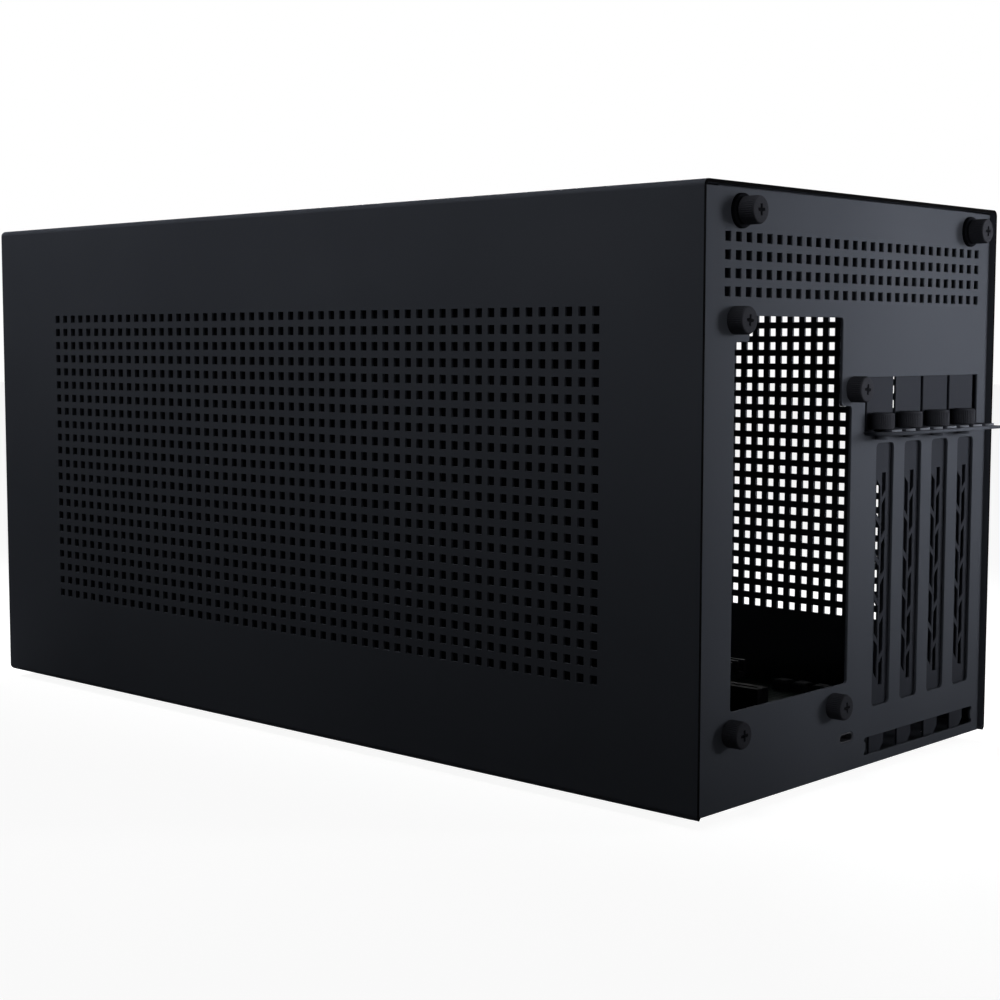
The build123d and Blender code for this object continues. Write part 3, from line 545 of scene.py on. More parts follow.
def bridged(form, rings):
    """Faces between rings of as many vertices each, with vertices that are the same taken once."""
    for ring, next_ring in zip(rings, rings[1:]):
        for at, start in enumerate(ring):
            after = (at + 1) % len(ring)
            corners = [start, ring[after], next_ring[after], next_ring[at]]
            form.faces.new(list(dict.fromkeys(corners)))


def closed(mesh):
    """Closed mesh with doubles merged and its faces turned outwards. The mesh given goes."""
    form = bmesh.new()
    form.from_mesh(mesh)
    bpy.data.meshes.remove(mesh)
    bmesh.ops.remove_doubles(form, verts=form.verts, dist=merge_reach)
    return solid_from("closed form", form)


def joined(name, meshes):
    """One mesh from several, which go."""
    form = bmesh.new()
    for mesh in meshes:
        form.from_mesh(mesh)
        bpy.data.meshes.remove(mesh)
    return mesh_from(name, form)


def smooth(mesh, crisp_angle=35):
    """Smooth shading with crisp edges above an angle, and flat faces that stay flat beside bends."""
    mesh.shade_smooth()
    mesh.set_sharp_from_angle(angle=math.radians(crisp_angle))
    holder = shown(mesh)
    weighted = holder.modifiers.new("flat beside bends", "WEIGHTED_NORMAL")
    weighted.keep_sharp = True
    weighted.weight = 100
    return carried_out(holder)


def finished(name, mesh, body, slot, *nodes, finish=None):
    """Piece of the object: in metres, with its finish, on its body, in place of its CAD nodes."""
    mesh.transform(Matrix.Scale(MM, 4))
    mesh.materials.clear()
    mesh.materials.append(finish or finishes[slot])
    piece = shown(mesh)
    piece.name = name
    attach(piece, body)
    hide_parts(*nodes)
    return piece


def geometry_tree(name, sizes):
    """Geometry Nodes tree with named inputs. Gives the tree and its input sockets."""
    tree = bpy.data.node_groups.new(name, "GeometryNodeTree")
    tree.is_modifier = True
    for label, kind in {"Geometry": "Geometry", **sizes, "Material": "Material"}.items():
        tree.interface.new_socket(label, in_out="INPUT", socket_type=f"NodeSocket{kind}")
    tree.interface.new_socket("Geometry", in_out="OUTPUT", socket_type="NodeSocketGeometry")
    return tree, node(tree, "NodeGroupInput").outputs


def end_tree(tree, geometry, material):
    """Realizes the instances, sets the material and ends the tree."""
    real = node(tree, "GeometryNodeRealizeInstances", {"Geometry": geometry})
    painted = node(tree, "GeometryNodeSetMaterial", {"Geometry": real, "Material": material})
    node(tree, "NodeGroupOutput", {"Geometry": painted})
    return tree


def add_tree(holder, tree, values):
    """Adds a tree to an object as a modifier and sets its inputs by their identifiers."""
    modifier = holder.modifiers.new(tree.name, "NODES")
    modifier.node_group = tree
    for item in tree.interface.items_tree:
        if item.in_out == "INPUT" and item.name in values:
            modifier[item.identifier] = values[item.name]


def perforating_tree():
    """Punches a square hole through each face that is marked as part of a field."""
    tree, sizes = geometry_tree("perforate", {"Hole share": "Float"})
    marked = node(tree, "GeometryNodeInputNamedAttribute", {"Name": "field"}, data_type="BOOLEAN")
    copies = {"Mesh": sizes["Geometry"], "Selection": marked.outputs["Attribute"]}
    in_place = {"Offset Scale": 0.0, "Individual": True}
    copied = node(tree, "GeometryNodeExtrudeMesh", {**copies, **in_place}, mode="FACES")
    inner = copied.outputs["Top"]
    squares = {"Geometry": copied, "Selection": inner, "Scale": sizes["Hole share"]}
    shrunk = node(tree, "GeometryNodeScaleElements", squares, domain="FACE")
    cut = {"Geometry": shrunk, "Selection": inner}
    punched = node(tree, "GeometryNodeDeleteGeometry", cut, domain="FACE", mode="ALL")
    return end_tree(tree, punched, sizes["Material"])


def end_copies(tree, sizes, points, angle):
    """Sets a form on each point, turned about Z by an angle and then tilted, and ends the tree."""
    form = node(tree, "GeometryNodeObjectInfo", {"Object": sizes["Form"]}).outputs["Geometry"]
    turn = node(tree, "FunctionNodeAxisAngleToRotation", {"Axis": (0, 0, 1), "Angle": angle})
    seated = node(tree, "FunctionNodeRotateRotation", {"Rotation": turn, "Rotate By": sizes["Tilt"]})
    copies = {"Points": points, "Instance": form, "Rotation": seated}
    placed = node(tree, "GeometryNodeInstanceOnPoints", copies)
    return end_tree(tree, placed, sizes["Material"])


def screw_tree():
    """Sets a screw on each point, tilted to its seat and turned at random, as a hand leaves it."""
    tree, sizes = geometry_tree("set screws", {"Form": "Object", "Tilt": "Rotation"})
    turns = {"Min": -screw_turn, "Max": screw_turn, "Seed": screw_turn_seed}
    angle = node(tree, "FunctionNodeRandomValue", turns, data_type="FLOAT").outputs[1]
    return end_copies(tree, sizes, sizes["Geometry"], angle)


def ring_tree():
    """Repeats a form at even turns about the Z axis."""
    kinds = {"Form": "Object", "Tilt": "Rotation", "Count": "Int", "First turn": "Float"}
    tree, sizes = geometry_tree("repeat round", kinds)
    places = node(tree, "GeometryNodePoints", {"Count": sizes["Count"]})
    index = node(tree, "GeometryNodeInputIndex")
    share = node(tree, "ShaderNodeMath", {0: index, 1: sizes["Count"]}, operation="DIVIDE")
    whole_turn = {0: share, 1: 2 * math.pi, 2: sizes["First turn"]}
    angle = node(tree, "ShaderNodeMath", whole_turn, operation="MULTIPLY_ADD")
    return end_copies(tree, sizes, places, angle)


def weave_tree():
    """Flat grid whose points stand up and down in turn, as threads do in a plain weave."""
    kinds = {"Length": "Float", "Width": "Float", "Pitch": "Float", "Depth": "Float"}
    tree, sizes = geometry_tree("weave", kinds)
    counts = []
    for label in ("Length", "Width"):
        lengths = {0: sizes[label], 1: sizes["Pitch"]}
        threads = node(tree, "ShaderNodeMath", lengths, operation="DIVIDE")
        counts.append(node(tree, "ShaderNodeMath", {0: threads}, operation="FLOOR"))
    columns, rows = counts
    spans = {"Size X": sizes["Length"], "Size Y": sizes["Width"]}
    grid = node(tree, "GeometryNodeMeshGrid", {**spans, "Vertices X": columns, "Vertices Y": rows})
    index = node(tree, "GeometryNodeInputIndex")
    passed = node(tree, "ShaderNodeMath", {0: index, 1: rows}, operation="DIVIDE")
    column = node(tree, "ShaderNodeMath", {0: passed}, operation="FLOOR")
    row = node(tree, "ShaderNodeMath", {0: index, 1: rows}, operation="MODULO")
    place = node(tree, "ShaderNodeMath", {0: column, 1: row}, operation="ADD")
    over = node(tree, "ShaderNodeMath", {0: place, 1: 1.0}, operation="PINGPONG")
    height = node(tree, "ShaderNodeMath", {0: over, 1: sizes["Depth"]}, operation="MULTIPLY")
    offset = node(tree, "ShaderNodeCombineXYZ", {"Z": height})
    woven = node(tree, "GeometryNodeSetPosition", {"Geometry": grid, "Offset": offset})
    return end_tree(tree, woven, sizes["Material"])


perforate = perforating_tree()
set_screws = screw_tree()
repeat_round = ring_tree()
weave = weave_tree()


def rectangle(left, bottom, right, top):
    """Corners of a rectangle."""
    return [(left, bottom), (right, bottom), (right, top), (left, top)]


def arc(x, y, radius, start, end, count=8):
    """Points of an arc between two angles in degrees."""
    angles = [math.radians(start + (end - start) * step / count) for step in range(count + 1)]
    return [(x + radius * math.cos(angle), y + radius * math.sin(angle)) for angle in angles]


def circle(x, y, radius, count=24):
    """Points of a circle."""
    return arc(x, y, radius, 0, 360, count)[:-1]


def filleted(points, radius, count=6):
    """Outline with an arc in place of each corner."""
    outline = []
    for before, corner, after in zip(points[-1:] + points[:-1], points, points[1:] + points[:1]):
        corner = Vector(corner)
        back = (Vector(before) - corner).normalized()
        ahead = (Vector(after) - corner).normalized()
        half = back.angle(ahead) / 2
        centre = corner + (back + ahead).normalized() * radius / math.sin(half)
        start = corner + back * radius / math.tan(half) - centre
        end = corner + ahead * radius / math.tan(half) - centre
        sweep = start.angle_signed(end)
        for step in range(count + 1):
            spoke = start.copy()
            spoke.rotate(Matrix.Rotation(-sweep * step / count, 2))
            outline.append(tuple(centre + spoke))
    return outline


def plate(outline, holes, thickness, edge):
    """Flat sheet on the XY plane with softened edges, centred on its thickness."""
    curve = bpy.data.curves.new("plate", "CURVE")
    curve.dimensions = "2D"
    curve.fill_mode = "BOTH"
    curve.extrude = thickness / 2 - edge
    curve.bevel_depth = edge
    curve.bevel_resolution = 1
    curve.offset = -edge
    for points in (outline, *holes):
        spline = curve.splines.new("POLY")
        spline.points.add(len(points) - 1)
        for point, (x, y) in zip(spline.points, points):
            point.co = (x, y, 0, 1)
        spline.use_cyclic_u = True
    return closed(carried_out(shown(curve)))


def standing(mesh, y):
    """Turns a plate upright across the case, with its middle at y."""
    mesh.transform(Matrix.Translation((0, y, 0)) @ Matrix.Rotation(math.pi / 2, 4, "X"))
    return mesh


def lying(mesh, z):
    """Moves a plate up to the height z."""
    mesh.transform(Matrix.Translation((0, 0, z)))
    return mesh


def rounded(radius, end, edge, hand):
    """Profile points of a rounded edge at one end of a turned form."""
    return [(radius - inset, end + hand * along, *knurl) for inset, along, *knurl in edge]


def turned(profile, count, groove=0.0):
    """Mesh turned about Z from points of radius, height and, where it is knurled, groove share."""
    form = bmesh.new()
    rings = []
    for radius, height, *knurl in profile:
        if radius == 0:
            rings.append([form.verts.new((0, 0, height))] * count)
            continue
        ring = []
        for step in range(count):
            angle = 2 * math.pi * step / count
            reach = radius - groove * sum(knurl) * (step % 2)
            ring.append(form.verts.new((reach * math.cos(angle), reach * math.sin(angle), height)))
        rings.append(ring)
    bridged(form, rings)
    return solid_from("turned form", form)


def hollow(profile, count):
    """Ring turned about Z from a closed profile."""
    return closed(turned([*profile, profile[0]], count))


def cover_sheet():
    """Outer face of the cover: the walls swept along Y, the front bends and the front wall."""
    half = half_width - bend_radius
    low = case_bottom + bend_radius
    high = case_top - bend_radius
    lip_end = half_width - sheet - lip_width
    intake_half = intake_count * pitch / 2
    columns = [pitch * step - intake_half for step in range(intake_count + 1)]
    columns = [-lip_end, *columns, lip_end]
    rows = [case_mid_z + pitch * (step - side_rows / 2) for step in range(side_rows + 1)]
    lengths = [side_field_y + pitch * (side_columns / 2 - step) for step in range(side_columns + 1)]

    loop = []
    corners = ((half, low), (half, high), (-half, high), (-half, low))
    runs = (
        [(half, z, 1, 0) for z in rows],
        [(x, high, 0, 1) for x in reversed(columns)],
        [(-half, z, -1, 0) for z in reversed(rows)],
        [(x, low, 0, -1) for x in columns],
    )
    for quarter, ((x, z), run) in enumerate(zip(corners, runs)):
        loop += [(x, z, *out) for out in arc(0, 0, 1, 90 * (quarter - 1), 90 * quarter, bend_steps)]
        loop += run

    stations = [(y, bend_radius) for y in (rear_y, rear_y - rear_cut, *lengths)]
    for out, along in arc(0, 0, front_bend_radius, 0, 90, bend_steps):
        stations.append((front_y + front_bend_radius - along, bend_radius - front_bend_radius + out))

    form = bmesh.new()
    field = form.faces.layers.bool.new("field")
    rings = [
        [form.verts.new((x + nx * reach, y, z + nz * reach)) for x, z, nx, nz in loop]
        for y, reach in stations
    ]
    for station, (ring, next_ring) in enumerate(zip(rings, rings[1:])):
        y, reach = stations[station]
        in_length = y <= lengths[0] and stations[station + 1][0] >= lengths[-1]
        for at, start in enumerate(loop):
            after = (at + 1) % len(loop)
            end = loop[after]
            middle_x = abs(ring[at].co.x + ring[after].co.x) / 2
            bottom = min(start[3], end[3]) < -merge_reach
            between_lips = bottom and middle_x < lip_end and reach == bend_radius
            cut_back = bottom and middle_x < half_width - sheet and station == 0
            if between_lips or cut_back:
                continue
            face = form.faces.new((ring[at], ring[after], next_ring[after], next_ring[at]))
            on_side = start[2:] == end[2:] and start[3] == 0
            in_rows = rows[0] <= min(start[1], end[1]) and max(start[1], end[1]) <= rows[-1]
            face[field] = on_side and in_rows and in_length

    all_columns = [-half, *columns, half]
    all_rows = [low, *rows, high]
    wall = {(x, z): form.verts.new((x, front_y, z)) for x in all_columns for z in all_rows}
    for at, start in enumerate(loop):
        after = (at + 1) % len(loop)
        end = loop[after]
        rim = [rings[-1][at], rings[-1][after], wall[end[:2]], wall[start[:2]]]
        form.faces.new(list(dict.fromkeys(rim)))
    for left, right in zip(all_columns, all_columns[1:]):
        for under, over in zip(all_rows, all_rows[1:]):
            places = rectangle(left, under, right, over)
            face = form.faces.new([wall[place] for place in places])
            face[field] = all(max(abs(x), abs(z - case_mid_z)) <= intake_half for x, z in places)
    loose = [vertex for vertex in form.verts if not vertex.link_faces]
    bmesh.ops.delete(form, geom=loose, context="VERTS")
    return mesh_from("outer cover", form)


def outer_cover():
    """Folded and perforated steel cover."""
    holder = shown(cover_sheet())
    add_tree(holder, perforate, {"Hole share": hole / pitch, "Material": finishes["powder_coat"]})
    wall = holder.modifiers.new("sheet thickness", "SOLIDIFY")
    wall.thickness = sheet
    wall.offset = -1
    wall.use_even_offset = True
    finished("outer_cover_sheet", smooth(carried_out(holder)), "hood", "powder_coat", "outer_cover")


def port_outline(margin):
    """Oblong outline of the data port, grown by a margin."""
    low, high = box_mm("port_shell")
    reach = (high.z - low.z) / 2
    middle = (low.z + high.z) / 2
    near_end = arc(low.x + reach, middle, reach + margin, 90, 270, count=16)
    return near_end + arc(high.x - reach, middle, reach + margin, -90, 90, count=16)


def data_port():
    """Drawn steel shell of the data port, closed at the back."""
    low, high = box_mm("port_shell")
    tube = plate(port_outline(0), [port_outline(-port_wall)], high.y - low.y, port_edge)
    tube = standing(tube, (low.y + high.y) / 2)
    back = plate(port_outline(-port_edge), [], port_wall, port_edge)
    back = standing(back, low.y + port_wall / 2)
    mesh = smooth(joined("data port", [tube, back]), crisp_angle=50)
    finished("data_port_shell", mesh, "chassis", "zinc_steel", "port_shell", finish=port_plate)


def panel_holes(window_left, window_right):
    """Outlines of all holes in the rear panel."""
    holes = []
    vent_left = vent_shift - pitch * (vent_columns - 1) / 2 - hole / 2
    vent_top = case_top - vent_top_gap - hole
    for column in range(vent_columns):
        for row in range(vent_rows):
            left = vent_left + pitch * column
            bottom = vent_top - pitch * row
            holes.append(rectangle(left, bottom, left + hole, bottom + hole))
    for x in slot_xs:
        slot = rectangle(x - slot_width / 2, slot_bottom, x + slot_width / 2, slot_top)
        holes.append(filleted(slot, slot_corner))

    window = arc(window_right, shelf_top, shelf_relief, 90, 360)
    window += arc(window_left, shelf_top, shelf_relief, 180, 450)
    window += [(x, shelf_top + window_height) for x in (window_left, window_right)]
    holes.append(window)

    relief = tongue_slot_relief
    left = slot_xs[0] + tongue_width / 2 + tongue_slot_near_gap
    right = slot_xs[-1] - tongue_width / 2 - tongue_slot_far_gap
    low = case_bottom + tongue_slot_bottom_z + relief
    high = case_bottom + tongue_slot_top_z - relief
    tongue_slot = arc(right, low, relief, 90, 270) + arc(left, low, relief, -90, 90)
    tongue_slot += arc(left, high, relief, -90, 90) + arc(right, high, relief, 90, 270)
    holes.append(tongue_slot)

    left = psu_near_x + psu_hole_inset - opening_side
    right = psu_inner_x - psu_hole_inset + opening_side
    low = psu_low_z - psu_hole_inset + opening_bottom
    high = psu_high_z + psu_hole_inset - opening_top
    opening = [
        (left, low),
        (left, high - near_ear_height),
        (left - near_ear_width, high - near_ear_height),
        (left - near_ear_width, high),
        (right + far_ear_width, high),
        (right + far_ear_width, high - far_ear_height),
        (right, high - far_ear_height),
        (right, low),
    ]
    holes += [port_outline(port_hole_gap), filleted(opening, opening_corner)]
    screw_places = [*psu_places, *captive_places.values()]
    holes += [circle(x, z, shank_radius + shank_hole_gap) for x, y, z in screw_places]
    return holes


def rear_panel():
    """Rear panel with its vent, openings, folded shelf with screw bosses, and flange."""
    window_left = slot_xs[0] + blank_offset + blank_width / 2 + window_near_gap
    window_right = slot_xs[-1] + blank_offset - blank_width / 2 - window_far_gap
    holes = panel_holes(window_left, window_right)
    outline = rectangle(panel_low.x, panel_low.z, panel_high.x, panel_high.z)
    face = standing(plate(outline, holes, panel_sheet, panel_edge), panel_y - panel_sheet / 2)

    shelf = rectangle(window_right, panel_y - 2 * panel_edge, window_left, panel_high.y)
    bores = [circle(x, y, shank_radius) for x, y, z in slot_thumb_places]
    shelf = lying(plate(shelf, bores, panel_sheet, panel_edge), shelf_top - panel_sheet / 2)
    boss_mid_z = shelf_top - panel_sheet - boss_height / 2 + panel_edge / 2
    bosses = []
    for (x, y, z), bore in zip(slot_thumb_places, bores):
        rim = circle(x, y, boss_radius, count=32)
        boss = plate(rim, [bore], boss_height + panel_edge, panel_edge)
        bosses.append(lying(boss, boss_mid_z))
    flange_half = half_width - sheet - flange_inset
    flange = rectangle(-flange_half, panel_inner_y - flange_depth, flange_half, panel_y - panel_edge)
    flange = lying(plate(flange, [], panel_sheet, panel_edge), panel_low.z + panel_sheet / 2)
    mesh = joined("rear panel", [face, shelf, flange, *bosses])
    finished("rear_panel_sheet", mesh, "chassis", "powder_coat", "rear_panel")


def branching_vents():
    """Outlines of the slanting vents on both sides of a slot cover's middle rib."""
    low_end = slot_bottom + branch_low_margin
    high_end = slot_top - branch_high_margin
    inner = branch_rib / 2
    outer = inner + branch_column
    vents = []
    for hand, drop in ((1, branch_left_drop), (-1, branch_right_drop)):
        for row in range(int((high_end - low_end) / branch_pitch) + 2):
            low = low_end - drop + row * branch_pitch
            high = low + branch_pitch - branch_bar
            under = [(inner, low), (outer, low + branch_rise)]
            over = [(outer, high + branch_rise), (inner, high)]
            vent = [(hand * x, min(max(z, low_end), high_end)) for x, z in under + over]
            heights = [z for x, z in vent]
            if max(heights) - min(heights) > branch_rise:
                vents.append(vent)
    return vents


def slot_cover_form():
    """One slot cover about x = 0: plate with branching vents and tapered tongue, and its tab."""
    shoulder = case_bottom + blank_shoulder_z
    left = blank_offset + blank_width / 2
    right = blank_offset - blank_width / 2
    top = blank_high.z
    bottom = blank_low.z
    tongue_half = tongue_width / 2
    outline = [
        (tongue_chamfer - tongue_half, bottom),
        (tongue_half, bottom),
        (tongue_half, shoulder - tongue_taper),
        (left, shoulder),
        (left, top - blank_corner),
        (left - blank_corner, top),
        (right + blank_corner, top),
        (right, top - blank_corner),
        (right, shoulder),
        (-tongue_half, shoulder - tongue_taper),
        (-tongue_half, bottom + tongue_chamfer),
    ]
    face = standing(plate(outline, branching_vents(), blank_sheet, blank_edge), blank_mid_y)

    back = blank_mid_y - blank_sheet / 2 + blank_edge
    mouth = tab_notch_mouth / 2
    turn = math.degrees(math.asin(mouth / tab_notch_radius))
    notch_left = blank_offset + edge_notch_width / 2
    notch_right = blank_offset - edge_notch_width / 2
    tab = [
        (right, back),
        (left, back),
        (left, slot_thumb_y - mouth),
        *arc(slot_thumb_side, slot_thumb_y, tab_notch_radius, 360 - turn, turn, count=16),
        (left, slot_thumb_y + mouth),
        (left, tab_rear - blank_corner),
        (left - blank_corner, tab_rear),
        (notch_left, tab_rear),
        (notch_left, tab_rear - edge_notch_depth),
        (notch_right, tab_rear - edge_notch_depth),
        (notch_right, tab_rear),
        (right + blank_corner, tab_rear),
        (right, tab_rear - blank_corner),
    ]
    leaf = lying(plate(tab, [], blank_sheet, blank_edge), shelf_top + blank_sheet / 2)
    return joined("slot cover", [face, leaf])


def all_slot_covers():
    """The slot covers, one piece each."""
    form = slot_cover_form()
    for name, x in zip(slot_covers, slot_xs):
        mesh = form.copy()
        mesh.transform(Matrix.Translation((x, 0, 0)))
        finished(f"{name}_sheet", mesh, "chassis", "powder_coat", name, finish=shaded_slot_cover_coat)
    bpy.data.meshes.remove(form)


def cross_cutter(top, size):
    """Tapered cross that cuts a driver recess into a screw head, at a share of a thumbscrew's size."""
    form = bmesh.new()
    rings = []
    for height, reach, width in (
        (top + cross_cutter_over, size * cross_reach, size * cross_width),
        (top - size * cross_depth, size * cross_low_reach, size * cross_low_width),
    ):
        half = width / 2
        ring = []
        for quarter in range(4):
            turn = Matrix.Rotation(math.pi / 2 * quarter, 2)
            for point in ((half, half), (half, reach), (-half, reach)):
                ring.append(form.verts.new((*(turn @ Vector(point)), height)))
        rings.append(ring)
        form.faces.new(ring)
    bridged(form, rings)
    return solid_from("cross cutter", form)


def cut_cross(mesh, top, size):
    """Cuts a cross recess into a head whose face is at the height top."""
    holder = shown(mesh)
    cutter = shown(cross_cutter(top, size))
    recess = holder.modifiers.new("cross recess", "BOOLEAN")
    recess.operation = "DIFFERENCE"
    recess.solver = "EXACT"
    recess.object = cutter
    mesh = carried_out(holder)
    bpy.data.objects.remove(cutter)
    return mesh


def thumbscrew(radius, head, shank):
    """Thumbscrew on the Z axis, head up: knurled head with a rounded rim, cross recess, thread."""
    root = shank_radius - thread_depth
    profile = [(0, -shank), (root, -shank)]
    for step in range(int(shank / thread_pitch)):
        height = thread_pitch * step - shank
        profile += [(root, height + thread_root_end), (shank_radius, height + thread_pitch / 2)]
    profile += [(root, 0), *rounded(radius, 0, thumb_foot, 1)]
    profile += [*rounded(radius, head, thumb_rim, -1), (0, head)]
    return cut_cross(turned(profile, 2 * knurl_count, knurl_depth), head, 1.0)


def copied(form, points, tree, slot, values):
    """Mesh of the copies of a form that a tree sets. The form goes."""
    single = shown(form)
    holder = shown(points)
    add_tree(holder, tree, {"Form": single, "Material": finishes[slot], **values})
    mesh = carried_out(holder)
    bpy.data.objects.remove(single)
    return mesh


def set_of_screws(name, form, places, tilt, body, slot, *nodes):
    """Screws of one form on one body."""
    points = bpy.data.meshes.new(name)
    points.from_pydata(places, [], [])
    mesh = copied(form, points, set_screws, slot, {"Tilt": tilt})
    finished(name, smooth(mesh, crisp_angle=28), body, slot, *nodes)


def all_thumbscrews():
    """Thumbscrews of the power supply, the slot covers and the cover."""
    form = thumbscrew(thumb_radius, thumb_head, panel_y - psu_screw_low.y)
    set_of_screws("psu_thumbscrews", form, psu_places, to_rear, "chassis", "black_screw", "psu_screws")
    low, high = box_mm("slot_screws")
    form = thumbscrew(slot_thumb_radius, slot_thumb_head, shelf_top + blank_sheet - low.z)
    set_of_screws(
        "slot_thumbscrews", form, slot_thumb_places, upright, "chassis", "black_screw", "slot_screws"
    )
    for side, place in captive_places.items():
        solid_name = f"cover_screw_{side}"
        low, high = box_mm(solid_name)
        form = thumbscrew(thumb_radius, thumb_head, high.y - low.y - thumb_head)
        name = f"captive_thumbscrew_{side}"
        body = f"{side}_captive_screw"
        set_of_screws(name, form, [place], to_rear, body, "black_screw", solid_name)


def screw_collars():
    """Flanged collars that keep the captive screws on the panel."""
    low, high = box_mm("screw_collars")
    radius = (high.z - low.z) / 2
    height = high.y - low.y
    bore = shank_radius + collar_gap
    profile = [(bore, 0), (radius, 0), *rounded(radius, height, collar_rim, -1), (bore, height)]
    collars = []
    for x, y, z in captive_places.values():
        collar = hollow(profile, count=64)
        collar.transform(Matrix.Translation((x, low.y, z)) @ z_to_rear)
        collars.append(collar)
    mesh = smooth(joined("screw collars", collars))
    name = "captive_screw_collars"
    finished(name, mesh, "chassis", "black_screw", "screw_collars", finish=collar_plate)


def solid_boxes(name):
    """Lowest and highest corner of each solid of a CAD node, in millimetres."""
    form = bmesh.new()
    form.from_mesh(frame["nodes"][name].data)
    bmesh.ops.remove_doubles(form, verts=form.verts, dist=merge_reach * MM)
    left = set(form.verts)
    boxes = []
    while left:
        front = [left.pop()]
        found = []
        while front:
            vertex = front.pop()
            found.append(vertex.co / MM)
            beside = {edge.other_vert(vertex) for edge in vertex.link_edges} & left
            left -= beside
            front.extend(beside)
        boxes.append([Vector([pick(axis) for axis in zip(*found)]) for pick in (min, max)])
    form.free()
    return sorted(boxes, key=lambda box: tuple(box[0]))


def hexagon_screw(shank):
    """Hexagon-headed screw on the Z axis, head up, with a cross recess and a thread."""
    edge = screw_head - screw_head_edge
    face_radius = screw_head_radius - 2 * screw_head_edge
    side = [(screw_head_radius, 0), (screw_head_radius, edge), (face_radius, screw_head)]
    head = turned([(0, 0), *side, (0, screw_head)], count=6)
    root = screw_radius - screw_thread_depth
    profile = [(0, -shank)]
    for step in range(int(shank / screw_pitch)):
        height = screw_pitch * step - shank
        profile += [(root, height), (screw_radius, height + screw_pitch / 2)]
    thread = turned([*profile, (root, 0), (0, screw_head / 2)], count=16)
    return joined("hexagon screw", [cut_cross(head, screw_head, screw_recess), thread])


def small_screws():
    """Screws of the board, the base and the fan bracket, each set where its solids are."""
    sets = {}
    for name in ("board_screws", "base_screws", "fan_screws"):
        for low, high in solid_boxes(name):
            middle = (low + high) / 2
            length = high.z - low.z
            label = f"{name[:-1]}_set"
            place = (middle.x, middle.y, high.z - screw_head)
            if name == "fan_screws":
                length = high.y - low.y
                place = (middle.x, low.y + screw_head, middle.z)
            elif name == "base_screws" and middle.y > panel_inner_y - flange_depth:
                label = "flange_screw_set"
                place = (middle.x, middle.y, low.z + screw_head)
            kind = (name, label, round(length - screw_head, 3))
            sets.setdefault(kind, []).append(place)
    tilts = {"fan_screw_set": to_front, "flange_screw_set": upside_down}
    for number, ((name, label, shank), places) in enumerate(sets.items(), start=1):
        form = hexagon_screw(shank)
        tilt = tilts.get(label, upright)
        set_of_screws(f"{label}_{number}", form, places, tilt, "chassis", "zinc_steel", name)


# The near-black filter is a dark sheet behind the side holes: painted shade for the inside of the case
# seen through them
def side_filter():
    """Woven filter in its moulded rim, against the inside of the cover."""
    low, high = box_mm("side_filter")
    edge = filter_rim_width
    outer = rectangle(low.y, low.z, high.y, high.z)
    inner = rectangle(low.y + edge, low.z + edge, high.y - edge, high.z - edge)
    lengthways = Matrix(((0, 0, 1, 0), (1, 0, 0, 0), (0, 1, 0, 0), (0, 0, 0, 1)))
    rim = plate(outer, [inner], filter_rim_height, filter_rim_edge)
    rim.transform(Matrix.Translation(((low.x + high.x) / 2, 0, 0)) @ lengthways)
    rim = finished("side_filter_rim", rim, "hood", "black_plastic", "side_filter")

    length = high.y - low.y - edge
    width = high.z - low.z - edge
    holder = shown(bpy.data.meshes.new("side filter"))
    values = {"Length": length, "Width": width, "Pitch": weave_pitch, "Depth": weave_depth}
    add_tree(holder, weave, {**values, "Material": finishes["filter_mesh"]})
    wall = holder.modifiers.new("thread thickness", "SOLIDIFY")
    wall.thickness = weave_sheet
    wall.offset = 0
    cloth = carried_out(holder)
    middle = Vector((high.x - filter_sheet / 2, (low.y + high.y) / 2, (low.z + high.z) / 2))
    cloth.transform(Matrix.Translation(middle) @ lengthways)
    cloth = finished("side_filter_mesh", cloth, "hood", "filter_mesh", "side_filter")


def rubber_feet():
    """Round moulded feet with a soft lower edge and a dished underside."""
    feet = []
    for low, high in solid_boxes("rubber_feet"):
        radius = (high.y - low.y) / 2
        height = high.z - low.z
        side = [*rounded(radius, 0, foot_edge, 1), (radius - foot_draft, height)]
        foot = turned([(0, foot_dish), *side, (0, height)], count=48)
        foot.transform(Matrix.Translation(((low.x + high.x) / 2, (low.y + high.y) / 2, low.z)))
        feet.append(foot)
    finished("rubber_foot_set", smooth(joined("feet", feet)), "chassis", "rubber", "rubber_feet")


def round_about(form, count, first_turn=0.0):
    """Mesh of a form repeated about the Z axis. The form goes."""
    turns = {"Tilt": upright, "Count": count, "First turn": first_turn}
    return copied(form, bpy.data.meshes.new("repeated"), repeat_round, "black_plastic", turns)


def in_fan(mesh):
    """Moves a form from the Z axis to the fan's axis, with its inlet side to the front."""
    low, high = box_mm("fan_frame")
    place = Matrix.Translation((0, low.y, (low.z + high.z) / 2))
    mesh.transform(place @ z_to_rear)
    return mesh


